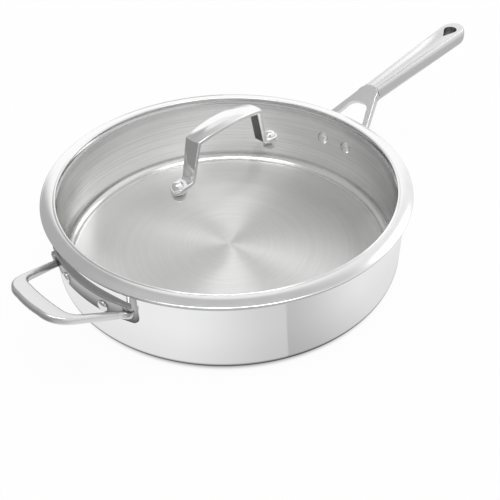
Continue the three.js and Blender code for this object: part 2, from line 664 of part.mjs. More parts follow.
function tabPoint(x) {
  return new THREE.Vector2(x, STRAP_FOOT_Z + (STRAP_FOOT_X - x) * Math.tan(FOOT_LEAN));
}

const STRAP_ANKLE = tabPoint(STRAP_FOOT_SPREAD / 2);
const STRAP_SHOULDER = new THREE.Vector2(STRAP_SHOULDER_SPREAD / 2, STRAP_ANKLE.y + STRAP_LEG_HEIGHT);

// Half the strap's width at a height: it widens up the legs and again over the arch.
function strapHalfWidth(z) {
  const upLeg = THREE.MathUtils.clamp((z - STRAP_ANKLE.y) / STRAP_LEG_HEIGHT, 0, 1);
  const upArch = THREE.MathUtils.clamp((z - STRAP_SHOULDER.y) / STRAP_ARCH, 0, 1);
  const leg = THREE.MathUtils.lerp(2 * STRAP_FOOT_RADIUS, STRAP_SHOULDER_WIDTH, upLeg);
  return THREE.MathUtils.lerp(leg, STRAP_ARCH_WIDTH, upArch) / 2;
}

// Stations of the strap's middle line in the XZ plane, from the top of the arch to the rear tab's round end.
function halfStrap() {
  const control = new THREE.Vector2(0, STRAP_SHOULDER.y + 2 * STRAP_ARCH);
  const front = new THREE.Vector2(-STRAP_SHOULDER.x, STRAP_SHOULDER.y);
  const arch = new THREE.QuadraticBezierCurve(front, control, STRAP_SHOULDER).getPoints(2 * CURVE_STEPS);
  const corners = [arch[2 * CURVE_STEPS - 1], STRAP_SHOULDER, STRAP_ANKLE, tabPoint(STRAP_FOOT_X)];
  const line = eased(corners, STRAP_BEND);
  const crownFrom = STRAP_ANKLE.y + STRAP_BEND;
  const station = (point) => ({
    point,
    half: strapHalfWidth(point.y),
    crown: STRAP_CROWN * THREE.MathUtils.smoothstep(point.y, crownFrom, crownFrom + 2 * STRAP_BEND),
  });
  const tabEnd = [25, 50, 75].map(degToRad).map((angle) => ({
    point: tabPoint(STRAP_FOOT_X + STRAP_FOOT_RADIUS * Math.sin(angle)),
    half: STRAP_FOOT_RADIUS * Math.cos(angle),
    crown: 0,
  }));
  return [...arch.slice(CURVE_STEPS, -2).map(station), ...line.slice(1).map(station), ...tabEnd];
}

// Section of the strap at one station: flat inside, crowned outside.
function strapRing(station, before, after) {
  const along = after.point.clone().sub(station.point).normalize();
  along.add(station.point.clone().sub(before.point).normalize()).normalize();
  const lower = STRAP_THICKNESS / 2;
  const { half, crown, point } = station;
  const section = [
    [-half, -lower],
    [half, -lower],
    [half, lower],
    [half / 2, lower + 0.75 * crown],
    [0, lower + crown],
    [-half / 2, lower + 0.75 * crown],
    [-half, lower],
  ];
  return section.map(([y, out]) => new THREE.Vector3(point.x - out * along.y, y, point.y + out * along.x));
}

// Strap handle of the lid.
function makeStrap() {
  const rear = halfStrap();
  const mirrored = ({ point, half, crown }) => ({ point: new THREE.Vector2(-point.x, point.y), half, crown });
  const stations = [...rear.slice(1).map(mirrored).reverse(), ...rear];
  const last = stations.length - 1;
  const rings = stations.map((station, i) => (
    strapRing(station, stations[Math.max(i - 1, 0)], stations[Math.min(i + 1, last)])));
  return mesh('lid_handle', toGeometry(footDrilled(toSolid(lofted(rings)))), POLISHED_STEEL);
}

function makeLid() {
  const lid = new THREE.Group();
  lid.position.z = LID_SEAT;
  lid.add(makeGlass(), makeBand(), makeStrap(), makeFoot('front', -1), makeFoot('rear', 1));
  return lid;
}

const pan = new THREE.Group();
pan.add(...makePan(), makeYoke(), makeGrip(), makeHelper(), ...HANDLE_RIVETS.map(handleRivet), makeLid());

export default pan;
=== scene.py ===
"""Looks of a saute pan with a domed glass lid: polished, satin and cast steel, glass and silicone."""
import math

import bmesh
import bpy
from mathutils import Matrix, Quaternion, Vector


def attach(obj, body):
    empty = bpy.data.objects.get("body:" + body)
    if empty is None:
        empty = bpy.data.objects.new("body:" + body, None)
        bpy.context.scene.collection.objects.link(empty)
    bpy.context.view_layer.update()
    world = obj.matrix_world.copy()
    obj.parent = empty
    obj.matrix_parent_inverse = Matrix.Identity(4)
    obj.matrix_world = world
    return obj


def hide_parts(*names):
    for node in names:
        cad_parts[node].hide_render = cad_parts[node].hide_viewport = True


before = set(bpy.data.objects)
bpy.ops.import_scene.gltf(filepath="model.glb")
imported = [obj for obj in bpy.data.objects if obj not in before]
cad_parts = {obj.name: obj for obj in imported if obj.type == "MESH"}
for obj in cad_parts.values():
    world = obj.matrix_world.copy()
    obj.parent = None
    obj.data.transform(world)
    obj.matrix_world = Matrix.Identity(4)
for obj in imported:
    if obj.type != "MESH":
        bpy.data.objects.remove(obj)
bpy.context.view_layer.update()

# Fits between pieces, in metres like all lengths here
SEAT_GAP = 0.0003
BOND_GAP = 0.0001

# Pan
PAN_INNER_RADIUS = 0.150
PAN_HEIGHT = 0.071
SKIN_THICKNESS = 0.0006
CORE_THICKNESS = 0.0014
LINER_THICKNESS = 0.0005
BASE_CORNER_RADIUS = 0.012
CORNER_LINE = 0.0090
LIP_BEND_RADIUS = 0.003
LIP_FLARE = math.radians(75)
LIP_EDGE = 0.001
WALL = SKIN_THICKNESS + CORE_THICKNESS + LINER_THICKNESS + 2 * BOND_GAP
PAN_OUTER_RADIUS = PAN_INNER_RADIUS + WALL
LIP_END = math.pi - LIP_FLARE
BASE_RINGS = (0, 0.02, 0.25, 0.5, 0.75, 0.99)
LIP_START = PAN_HEIGHT - (LIP_BEND_RADIUS + WALL) * math.sin(LIP_END) + LIP_EDGE * math.cos(LIP_END)

# Lid
LID_SEAT = PAN_HEIGHT + SEAT_GAP
BAND_OUTER_RADIUS = PAN_OUTER_RADIUS + 0.005
BAND_WIDTH = 0.013
BAND_INNER_RADIUS = BAND_OUTER_RADIUS - BAND_WIDTH
BAND_CROWN = 0.0032
BAND_EDGE = 0.0008
BAND_SHEET = 0.0008
BAND_UNDERCUT = 0.0004
CROWN_BALANCE = 0.55
BEAD_RADIUS = 0.0010
BEAD_HEIGHT = 0.0008
BEAD_SINK = 0.0003
BEAD_GROOVE = 1.3 * BEAD_RADIUS
CURL_WIDTH = 0.0020
CURL_HEIGHT = 0.0016
CURL_TURN = math.radians(72)
SKIRT_RADIUS = PAN_INNER_RADIUS - 0.0014
SKIRT_SHEET = 0.0012
GLASS_RADIUS = SKIRT_RADIUS - SKIRT_SHEET - SEAT_GAP
GLASS_THICKNESS = 0.004
GLASS_RISE = 0.0196
GLASS_EDGE_HEIGHT = 0.0009
DOME_RADIUS = (GLASS_RADIUS ** 2 + GLASS_RISE ** 2) / (2 * GLASS_RISE)
DOME_CENTRE = GLASS_EDGE_HEIGHT + GLASS_RISE - DOME_RADIUS

# Lid handle and its feet
FOOT_RADIUS = 0.054
STRAP_THICKNESS = 0.003
STRAP_FOOT_RADIUS = 0.0064
STRAP_FOOT_HALF_SPREAD = 0.0425
STRAP_SHOULDER_HALF_SPREAD = 0.0345
STRAP_SHOULDER_WIDTH = 0.0152
STRAP_ARCH_WIDTH = 0.019
STRAP_LEG_HEIGHT = 0.0335
STRAP_ARCH = 0.0042
STRAP_CROWN = 0.002
SHOULDER_CROWN = 0.0003
LEG_CROWN = 0.0013
# Half width of the painted shade along the middle of the strap's inside
STRAP_SHADE_HALF_WIDTH = 0.0048
STRAP_BEND = 0.004
STRAP_EDGE = 0.0007
TAB_TURN = math.radians(84)
LID_RIVET_SHANK_RADIUS = 0.0022
LID_RIVET_HEAD_RADIUS = 0.005
LID_RIVET_HEAD_HEIGHT = 0.0037
LID_RIVET_TAIL_RADIUS = 0.004
LID_RIVET_TAIL_HEIGHT = 0.0016
LID_RIVET_TAIL_EDGE = 0.0008
GASKET_RADIUS = 0.0068
LOWER_GASKET_RADIUS = 0.0056
GASKET_THICKNESS = 0.0012
GASKET_EDGE = 0.0004
WASHER_RADIUS = 0.0052
WASHER_THICKNESS = 0.001
WASHER_EDGE = 0.0003
RING_BORE = LID_RIVET_SHANK_RADIUS + SEAT_GAP

# Wall plates and rivets of the side handles
PLATE_THICKNESS = 0.0032
PLATE_INNER_RADIUS = PAN_OUTER_RADIUS + SEAT_GAP
PLATE_OUTER_RADIUS = PLATE_INNER_RADIUS + PLATE_THICKNESS
PLATE_CORNER = 0.004
PLATE_EDGE = 0.0007
HELPER_PLATE_EDGE = 0.0014
RIVET_SHANK_RADIUS = 0.0026
RIVET_HEAD_RADIUS = 0.0048
RIVET_INSIDE_RADIUS = 0.0060
RIVET_HEAD_EDGE = 0.0005
RIVET_HEAD_HEIGHT = 0.0024

# Long handle
LONG_RIVET_SPACING = 0.0285
LONG_RIVET_Z = PAN_HEIGHT - 0.0275
YOKE_REACH = 0.055
YOKE_END_X = PAN_OUTER_RADIUS + YOKE_REACH
YOKE_END_Z = PAN_HEIGHT + 0.0137
YOKE_SLOPE = math.radians(31)
YOKE_THICKNESS = 0.0084
YOKE_END_RADIUS = 0.0114
YOKE_ROOT_WIDTH = 0.059
YOKE_EDGE = 0.0008
YOKE_OVERRUN = 0.006
PRONG_WIDTH = 0.006
YOKE_WINDOW_INSET = 0.0218
YOKE_WINDOW_ARCH = 0.0072
YOKE_WINDOW_DRAFT = 0.0030
YOKE_PLATE_HALF_WIDTH = 0.032
YOKE_PLATE_TOP = PAN_HEIGHT - 0.017
YOKE_PLATE_BOTTOM = PAN_HEIGHT - 0.039
GRIP_LENGTH = 0.157
GRIP_TIP_X = YOKE_END_X + GRIP_LENGTH
GRIP_SLOPE = math.radians(6.1)
GRIP_DROP = 0.0009
GRIP_FRONT_WIDTH = 0.0152
GRIP_TIP_WIDTH = 0.0272
GRIP_DEPTH = 0.017
GRIP_DISH = 0.0030
GRIP_FRONT_RIDGE = 0.0012
GRIP_TIP_RIDGE = 0.0034
GRIP_BULGE = 0.0012
GRIP_EDGE = 0.0016
GRIP_TIP_TURN = math.radians(82)
HANG_HOLE_RADIUS = 0.0068
HANG_HOLE_POINT = 0.0140
HANG_HOLE_X = GRIP_TIP_X - 0.0165

# Shares of the grip's half width and depth at the turns of its section
GRIP_KEEL_WIDTH = 0.5
GRIP_BILGE_WIDTH = 0.88
GRIP_BILGE_DEPTH = 0.86
GRIP_CHINE_DEPTH = 0.62
GRIP_WAIST_DEPTH = 0.5

# Helper handle
HELPER_RIVET_SPACING = 0.045
HELPER_RIVET_Z = PAN_HEIGHT - 0.0233
HELPER_REACH = 0.0482
HELPER_ROOT_Z = PAN_HEIGHT - 0.0181
HELPER_SLOPE = math.radians(19.8)
HELPER_THICKNESS = 0.0063
HELPER_ROOT_HALF_WIDTH = 0.0442
HELPER_TIP_HALF_WIDTH = 0.0301
HELPER_CORNER = 0.017
HELPER_BULGE = 0.001
HELPER_BAR_WIDTH = 0.0154
HELPER_ARM_WIDTH = 0.0058
HELPER_WINDOW_CORNER = 0.010
HELPER_EDGE = 0.0022
HELPER_PLATE_HALF_WIDTH = 0.0515
HELPER_PLATE_THINNING = 0.0012
HELPER_PLATE_TOP = PAN_HEIGHT - 0.0144
HELPER_PLATE_BOTTOM = PAN_HEIGHT - 0.0306
HELPER_EAR_WIDTH = 0.0024
HELPER_NECK_FILLET = 0.002
HELPER_FLARE_ROOT = -0.010
HELPER_FLARE_END = -0.0055
HELPER_FLARE_START = 0.004
HELPER_FLARE_RISE = 0.0055
HELPER_EAR_TOP = PAN_HEIGHT - 0.0010

# Fineness of the meshes
TURN_SEGMENTS = 256
RIVET_SEGMENTS = 48
ARC_STEPS = 12
CORNER_STEPS = 36
EDGE_STEPS = 4
PLATE_STEPS = 20
HELPER_TOP_STEPS = 24
NECK_STEPS = 6
EAR_STEPS = 8
GRIP_STEPS = 10
DOME_STEPS = 24
LEG_STEPS = 8
DISH_SHARES = (0.9, 0.8, 0.6, 0.4, 0.2)
CROWN_SHARES = (0.8, 0.6, 0.4, 0.2, 0)
SHARP_EDGE = math.radians(35)
ON_AXIS = 1e-7
WELD_DISTANCE = 1e-6

# Camera
CAMERA_PLACE = Vector((-0.3560, -0.3752, 0.4211))
CAMERA_AIM = Vector((-0.0263, -0.0519, 0.0400))
CAMERA_ROLL = math.radians(-1.05)
CAMERA_LENS = 51.98
CAMERA_CLIP = 0.01

# Degrees from the camera's side of the pan to the direction across its handles
CROSS_AZIMUTH = 90 - math.degrees(math.atan2(CAMERA_PLACE.y, CAMERA_PLACE.x))

# Rates of grain and streaks along X, Y and Z, per metre, and of turned brush lines, per radian
STRAP_GRAIN = (60, 2200, 60)
YOKE_GRAIN = (90, 1800, 90)
GRIP_GRAIN = (40, 1600, 1600)
HELPER_GRAIN = (1200, 60, 1200)
GRAIN_DETAIL = 3
STREAK_RATES = (9, 9, 620)
STREAK_ROUGHNESS = 0.6
TURN_RATE = 0.0012

# Finishes, painted shade and painted light. A pair runs from the middle of the base to its edge, or from
# the foot of a wall to its top
BASE_ROUGHNESS = (0.42, 0.31)
CORNER_ROUGHNESS = 0.16
CORNER_BLUR = 0.0008
WALL_START = 2 * CORNER_LINE
WALL_ROUGHNESS = 0.23
# Painted shade: the lining's wall goes from 1.03 of its colour at the foot to 0.90 at the top
WALL_PAINTED_SHADE = (1.03, 0.90)
# The long handle's wall plate is a little darker toward its foot
PLATE_FOOT_FADE = (0.9, 1.0)
# Painted shade: the helper's wall plate darkens from 0.66 of the steel's colour at its top to 0.13 at its
# foot
PLATE_PAINTED_SHADE = (0.13, 0.66)
PLATE_BLUR = 0.0010
# Painted shade on the walls of the hang hole
HOLE_PAINTED_SHADE = 0.72
HOLE_MARGIN = 0.0010
# Blur at the sides of the strap's painted shade
STRAP_SHADE_BLUR = 0.0004
# Lit and shaded copies of the rivet steel: painted light on the long handle's rivets, painted shade on the
# helper's
RIVET_LIT_TONE = 0.92
RIVET_SHADED_TONE = 0.80
RIVET_CLOUD = 0.04
GLASS_INDEX = 1.5
GLASS_SHINE = 0.6

# Ramps: a start and an end, then the levels there where they aren't 0 and 1
NOISE_SPAN = (0.3, 0.7)
STEEP_FACE = (0.5, 0.3)
INWARD_FACE = (-0.25, -0.45)
# Painted dark reflection: a thin darker line on the lining's corner
CORNER_PAINTED_REFLECTION = (0.0025, 0.0010, 1.0, 0.72)
STREAK_TONE = (0.35, 0.65, 0.90, 1.06)

# Floor, and ramps over it by distance from the pan's axis
FLOOR_HALF_WIDTH = 4.0
# Painted shadow: the floor's colour falls to 0.3 under the pan's edge
FLOOR_PAINTED_SHADOW = (PAN_INNER_RADIUS - 0.0060, PAN_INNER_RADIUS, 0.3, 1.0)
FOOT_GLOW = (PAN_INNER_RADIUS - 0.0065, PAN_INNER_RADIUS + 0.0010, 0.0, 0.95)
# Painted shadow and light in the floor's reflections: dim next to the pan, then a little above white
# further out
MIRROR_PAINTED_SHADOW = (PAN_INNER_RADIUS - 0.0005, PAN_INNER_RADIUS + 0.0080, 0.10, 0.9)
MIRROR_RISE = (PAN_INNER_RADIUS + 0.003, PAN_INNER_RADIUS + 0.050, 1.0, 1.11)
SHEET_END = (0.24, 0.30)
BACK = (0.34, 0.42, 0.95, 0.66)

# Ramps over the floor by azimuth from the camera's side of the pan: painted levels of the floor's glow,
# seen only in reflections
PAINTED_WHITE_SHEET = (math.radians(-20), math.radians(18), 0.95, 0.70)
PAINTED_GREY_SHEET = (math.radians(16), math.radians(56), 0.55, 0.90)
PAINTED_ROOM = (math.radians(-25), math.radians(-45), 0.62, 0.29)
BACK_START = (math.radians(126), math.radians(130))

# Seam between the painted white and grey sheets: its start on the wall and its turn in degrees, and its
# blur
SHEET_SEAM_START = 16
SHEET_SEAM_TURN = 32
SEAM_BLUR = 0.0008

# Sky: a ramp toward an azimuth in degrees
SKY_AZIMUTH = 102
SKY = (-0.06, 0.22, 0.46, 0.92)

# Soft cards in the sky: azimuth, elevation, angles to the full and the faded edge in degrees, brightness
CARDS = (
    (180, 12, 26, 34, 1.1),
    (0, 90, 24, 44, 0.57),
    (180, 47, 6, 14, 0.95),
    (131, 39, 8, 13, 2.0),
)

# Overhead strip: ramps by the parts of a direction to the front, sideways and up
STRIP_NEAR = (0.21, 0.12)
STRIP_FAR = (-0.10, 0.00)
STRIP_ENDS = (0.46, 0.22)
STRIP_ABOVE = (0.3, 0.4)
STRIP_LEVEL = 6.0


def lerp(a, b, t):
    return a + (b - a) * t


def clamp(value, low=0.0, high=1.0):
    return min(max(value, low), high)


def smoothstep(value, low, high):
    t = clamp((value - low) / (high - low))
    return t * t * (3 - 2 * t)


def arc(centre, radii, start, end, steps=ARC_STEPS):
    """Points of a circular or elliptic arc."""
    angles = [lerp(start, end, i / steps) for i in range(steps + 1)]
    return [(centre[0] + radii[0] * math.cos(a), centre[1] + radii[1] * math.sin(a)) for a in angles]


def curve_through(first, control, last, steps=ARC_STEPS):
    """Points of a quadratic curve."""
    points = []
    for i in range(steps + 1):
        t = i / steps
        points.append(tuple(
            (1 - t) ** 2 * a + 2 * t * (1 - t) * b + t * t * c for a, b, c in zip(first, control, last)))
    return points


def eased(points, bend, loop=False, steps=EDGE_STEPS):
    """Path with its corners rounded by short curves that start a bend's length from each corner."""
    count = len(points)
    path = [] if loop else [points[0]]
    for i in (range(count) if loop else range(1, count - 1)):
        here = Vector(points[i])
        ends = []
        for there in (Vector(points[i - 1]), Vector(points[(i + 1) % count])):
            gap = there - here
            ends.append(here + gap * min(bend / gap.length, 0.5))
        path += curve_through(ends[0], here, ends[1], steps)
    return path if loop else path + [points[-1]]


def make_mesh(name, points, faces):
    mesh = bpy.data.meshes.new(name)
    mesh.from_pydata([tuple(p) for p in points], [], faces)
    mesh.update()
    return mesh


def revolved(name, profile, segments=TURN_SEGMENTS, loop=False):
    """Mesh of (radius, height) points turned round Z. loop joins the last point to the first."""
    turns = [2 * math.pi * i / segments for i in range(segments)]
    points, rows = [], []
    for radius, height in profile:
        if radius < ON_AXIS:
            rows.append([len(points)] * segments)
            points.append((0, 0, height))
        else:
            rows.append(list(range(len(points), len(points) + segments)))
            points += [(radius * math.cos(a), radius * math.sin(a), height) for a in turns]
    pairs = list(zip(rows, rows[1:]))
    if loop:
        pairs.append((rows[-1], rows[0]))
    faces = []
    for low, high in pairs:
        for i in range(segments):
            j = (i + 1) % segments
            face = list(dict.fromkeys((low[i], low[j], high[j], high[i])))
            if len(face) > 2:
                faces.append(face)
    return make_mesh(name, points, faces)


def lofted(name, rings):
    """Mesh through a row of rings of equal length, closed at both ends."""
    count = len(rings[0])
    points = [p for ring in rings for p in ring]
    faces = []
    for i in range(len(rings) - 1):
        for j in range(count):
            k = (j + 1) % count
            faces.append((i * count + j, i * count + k, (i + 1) * count + k, (i + 1) * count + j))
    last = (len(rings) - 1) * count
    faces.append(tuple(reversed(range(count))))
    faces.append(tuple(range(last, last + count)))
    return make_mesh(name, points, faces)


def link(obj):
    bpy.context.scene.collection.objects.link(obj)


def from_object(holder):
    """Mesh of an object with its modifiers applied; the object is removed."""
    link(holder)
    graph = bpy.context.evaluated_depsgraph_get()
    mesh = bpy.data.meshes.new_from_object(holder.evaluated_get(graph))
    bpy.data.objects.remove(holder)
    return mesh


def rounded_plate(name, outline, thickness, edge):
    """Flat plate of an outline in XY, with its top face at zero and rounded edges."""
    curve = bpy.data.curves.new(name, "CURVE")
    curve.dimensions = "2D"
    curve.fill_mode = "BOTH"
    curve.extrude = thickness / 2 - edge
    curve.bevel_depth = edge
    curve.bevel_resolution = EDGE_STEPS
    curve.offset = -edge
    spline = curve.splines.new("POLY")
    spline.points.add(len(outline) - 1)
    for point, place in zip(spline.points, outline):
        point.co = (*place, 0, 1)
    spline.use_cyclic_u = True
    mesh = from_object(bpy.data.objects.new(name, curve))
    welded = bmesh.new()
    welded.from_mesh(mesh)
    bmesh.ops.remove_doubles(welded, verts=welded.verts, dist=WELD_DISTANCE)
    bmesh.ops.recalc_face_normals(welded, faces=welded.faces)
    welded.to_mesh(mesh)
    welded.free()
    mesh.transform(Matrix.Translation((0, 0, -thickness / 2)))
    return mesh


def prism(name, outline, bottom, top):
    """Closed prism of an outline in XY between two heights."""
    rings = [[(x, y, z) for x, y in outline] for z in (bottom, top)]
    return lofted(name, rings)


def without(mesh, *cutters):
    """Mesh with each cutter's volume taken out."""
    body = bpy.data.objects.new(mesh.name, mesh)
    tools = []
    for cutter in cutters:
        tool = bpy.data.objects.new(cutter.name, cutter)
        link(tool)
        tools.append(tool)
        cut = body.modifiers.new(cutter.name, "BOOLEAN")
        cut.operation = "DIFFERENCE"
        cut.solver = "EXACT"
        cut.object = tool
    result = from_object(body)
    for tool in tools:
        bpy.data.objects.remove(tool)
    return result


def joined(name, *meshes):
    """One mesh that holds the faces of several."""
    work = bmesh.new()
    for mesh in meshes:
        work.from_mesh(mesh)
    result = bpy.data.meshes.new(name)
    work.to_mesh(result)
    work.free()
    return result


def basis(x_axis, y_axis, origin):
    """Matrix that takes local X and Y to two given directions and the local origin to a point."""
    x_axis, y_axis = Vector(x_axis), Vector(y_axis)
    z_axis = x_axis.cross(y_axis)
    return Matrix.Translation(origin) @ Matrix((x_axis, y_axis, z_axis)).transposed().to_4x4()


def piece(mesh, material, body, node):
    """One shown piece: a smooth mesh, its material, its body and the CAD node that it stands for."""
    mesh.materials.clear()
    mesh.materials.append(material)
    mesh.polygons.foreach_set("use_smooth", [True] * len(mesh.polygons))
    mesh.set_sharp_from_angle(angle=SHARP_EDGE)
    obj = bpy.data.objects.new(mesh.name, mesh)
    link(obj)
    normals = obj.modifiers.new("even_normals", "WEIGHTED_NORMAL")
    normals.keep_sharp = True
    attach(obj, body)
    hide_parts(node)


# Node trees

class Nodes:
    """Short calls for one tree's nodes. A value is a number, a colour or a node's output."""

    def __init__(self, tree):
        self.tree = tree

    def add(self, kind, **settings):
        node = self.tree.nodes.new("ShaderNode" + kind)
        for key, value in settings.items():
            setattr(node, key, value)
        return node

    def feed(self, socket, value):
        if isinstance(value, bpy.types.NodeSocket):
            self.tree.links.new(value, socket)
        else:
            socket.default_value = value

    def node(self, kind, output, inputs, **settings):
        """Output of a new node whose inputs are given by name or number."""
        node = self.add(kind, **settings)
        for key, value in inputs.items():
            self.feed(node.inputs[key], value)
        return node.outputs[output]

    def math(self, operation, *values):
        return self.node("Math", "Value", dict(enumerate(values)), operation=operation)

    def vector(self, operation, *values):
        output = "Value" if operation in ("LENGTH", "DOT_PRODUCT") else "Vector"
        return self.node("VectorMath", output, dict(enumerate(values)), operation=operation)

    def product(self, first, *others):
        for other in others:
            first = self.math("MULTIPLY", first, other)
        return first

    def mix(self, share, low, high):
        """low where share is 0, high where it is 1."""
        rest = self.math("SUBTRACT", 1, share)
        return self.math("ADD", self.product(rest, low), self.product(share, high))

    def ramp(self, value, start, end, low=0.0, high=1.0, shape="SMOOTHSTEP"):
        """Change from low to high as a value goes from start to end."""
        inputs = {"Value": value, "From Min": start, "From Max": end, "To Min": low, "To Max": high}
        return self.node("MapRange", "Result", inputs, interpolation_type=shape)

    def along(self, vector, azimuth, elevation):
        """Length of a vector along a direction. Azimuth 0 is the camera's side of the pan, 90 its right."""
        turn = math.atan2(CAMERA_PLACE.y, CAMERA_PLACE.x) + math.radians(azimuth)
        rise = math.radians(elevation)
        flat = math.cos(rise)
        direction = (flat * math.cos(turn), flat * math.sin(turn), math.sin(rise))
        return self.vector("DOT_PRODUCT", vector, direction)

    def reach(self, vector):
        """Distance from the pan's axis."""
        return self.vector("LENGTH", self.vector("MULTIPLY", vector, (1, 1, 0)))

    def shaders(self, share, first, second):
        return self.node("MixShader", "Shader", {0: share, 1: first, 2: second})


class Shader(Nodes):
    """A material under construction."""

    def __init__(self, name, **values):
        self.material = bpy.data.materials.new(name)
        self.material.use_nodes = True
        super().__init__(self.material.node_tree)
        self.principled = self.tree.nodes["Principled BSDF"]
        self.place = self.add("TexCoord").outputs["Object"]
        self.set(**values)

    def set(self, **values):
        """Feeds the surface's inputs, named with _ for a space."""
        for key, value in values.items():
            self.feed(self.principled.inputs[key.replace("_", " ")], value)

    def surface(self, shader):
        self.feed(self.tree.nodes["Material Output"].inputs["Surface"], shader)

    def noise(self, vector, scale, detail, roughness=0.5):
        inputs = {"Vector": vector, "Scale": scale, "Detail": detail, "Roughness": roughness}
        return self.node("TexNoise", "Fac", inputs)

    def grain(self, rates, roughness=0.5):
        """Noise drawn out by its rates along X, Y and Z, per metre."""
        return self.noise(self.vector("MULTIPLY", self.place, rates), 1, GRAIN_DETAIL, roughness)

    def ranged(self, noise, low, high):
        """Noise spread between two numbers."""
        return self.ramp(noise, *NOISE_SPAN, low, high, "LINEAR")

    def colours(self, share, first, second):
        inputs = {"Fac": share, "Color1": first, "Color2": second}
        for key, value in inputs.items():
            if isinstance(value, tuple):
                inputs[key] = (*value, 1)
        return self.node("MixRGB", "Color", inputs)

    def greys(self, share, first, second):
        return self.colours(share, (first,) * 3, (second,) * 3)

    def bump(self, height, strength, distance):
        inputs = {"Height": height, "Strength": strength, "Distance": distance}
        self.set(Normal=self.node("Bump", "Normal", inputs))

    def normal(self):
        return self.add("NewGeometry").outputs["Normal"]

    def height(self):
        return self.along(self.place, 0, 90)

    def across(self):
        """Distance from the plane along the handles."""
        return self.math("ABSOLUTE", self.along(self.place, CROSS_AZIMUTH, 0))

    def rings(self):
        """Coordinates across brush lines: distance from the axis, height and a little of the turn."""
        split = self.add("SeparateXYZ")
        self.feed(split.inputs["Vector"], self.place)
        turn = self.math("ARCTAN2", split.outputs["Y"], split.outputs["X"])
        slow = self.product(turn, TURN_RATE)
        inputs = {"X": self.reach(self.place), "Y": split.outputs["Z"], "Z": slow}
        return self.node("CombineXYZ", "Vector", inputs)


# Materials

def polished_steel():
    """Mirror-polished stainless sheet with faint buffing haze."""
    s = Shader("polished_steel", Metallic=1.0)
    haze = s.noise(s.place, scale=38, detail=4)
    colour = s.colours(haze, (0.86, 0.86, 0.865), (0.90, 0.90, 0.905))
    s.set(Base_Color=colour, Roughness=s.ranged(haze, 0.07, 0.12))
    s.bump(s.noise(s.rings(), scale=1500, detail=2), strength=0.03, distance=0.00002)
    return s.material


def band_steel():
    """Rolled steel band, polished, with fine lines along it."""
    s = Shader("band_steel", Metallic=1.0)
    haze = s.noise(s.place, scale=60, detail=3)
    colour = s.colours(haze, (0.84, 0.84, 0.845), (0.90, 0.90, 0.90))
    s.set(Base_Color=colour, Roughness=s.ranged(haze, 0.10, 0.16))
    s.bump(s.noise(s.rings(), scale=1800, detail=3), strength=0.05, distance=0.00003)
    return s.material


def lining_tone(s):
    """A thin line on the corner darkened as a painted dark reflection, then level streaks up a wall that
    painted shade darkens slowly toward its top.
    """
    off_line = s.math("ABSOLUTE", s.math("SUBTRACT", s.height(), CORNER_LINE))
    # Painted dark reflection along the corner
    line = s.ramp(off_line, *CORNER_PAINTED_REFLECTION)
    streaks = s.ramp(s.grain(STREAK_RATES, STREAK_ROUGHNESS), *STREAK_TONE)
    # Streaks times painted shade that darkens the wall toward its top
    wall = s.product(streaks, s.ramp(s.height(), WALL_START, PAN_HEIGHT, *WALL_PAINTED_SHADE))
    return s.mix(s.ramp(s.height(), CORNER_LINE, WALL_START), line, wall)


def lining_roughness(s):
    """Soft on the base, shiny on the corner, between the two on the wall."""
    radius = s.reach(s.place)
    edge = PAN_OUTER_RADIUS - BASE_CORNER_RADIUS
    soft = s.ramp(radius, 0.5 * edge, edge, *BASE_ROUGHNESS)
    soft = s.mix(s.ramp(radius, edge, edge + CORNER_BLUR), soft, CORNER_ROUGHNESS)
    return s.mix(s.ramp(s.height(), CORNER_LINE, WALL_START), soft, WALL_ROUGHNESS)


def satin_lining():
    """Cooking surface with turned brush lines."""
    s = Shader("satin_lining", Metallic=1.0, Anisotropic=0.9, Anisotropic_Rotation=0.25)
    lines = s.noise(s.rings(), scale=420, detail=4, roughness=0.6)
    colour = s.colours(lines, (0.82, 0.82, 0.815), (0.98, 0.98, 0.975))
    s.set(Base_Color=s.vector("MULTIPLY", colour, lining_tone(s)))
    s.set(Roughness=s.math("ADD", lining_roughness(s), s.ranged(lines, -0.015, 0.015)))
    s.set(Tangent=s.add("Tangent", direction_type="RADIAL", axis="Z").outputs["Tangent"])
    return s.material


def hang_hole_share(s):
    """1 on the walls of the hang hole, 0 elsewhere."""
    level_face = s.math("ABSOLUTE", s.along(s.normal(), 0, 90))
    reach = s.reach(s.place)
    side = HANG_HOLE_RADIUS + HOLE_MARGIN
    point = HANG_HOLE_X - HANG_HOLE_POINT - HOLE_MARGIN
    return s.product(
        s.ramp(level_face, *STEEP_FACE),
        s.ramp(s.across(), side + HOLE_MARGIN, side),
        s.ramp(reach, point - HOLE_MARGIN, point),
        s.ramp(reach, HANG_HOLE_X + side + HOLE_MARGIN, HANG_HOLE_X + side),
    )


def cast_steel(name, grain_rates, plate_tones):
    """Handle casting: satin steel brushed one way. Its wall plate is darker toward the foot, strongly so on
    the helper handle as painted shade, and the walls of its hang hole carry painted shade.
    """
    s = Shader(name, Metallic=1.0)
    brushed = s.grain(grain_rates)
    plate = s.ramp(s.height(), HELPER_PLATE_BOTTOM, HELPER_PLATE_TOP, *plate_tones)
    past_plate = s.ramp(s.reach(s.place), PLATE_OUTER_RADIUS, PLATE_OUTER_RADIUS + PLATE_BLUR)
    # The hang hole's walls get painted shade
    tone = s.mix(hang_hole_share(s), s.mix(past_plate, plate, 1.0), HOLE_PAINTED_SHADE)
    colour = s.vector("MULTIPLY", s.greys(brushed, 0.71, 0.77), tone)
    s.set(Base_Color=colour, Roughness=s.ranged(brushed, 0.285, 0.33))
    return s.material


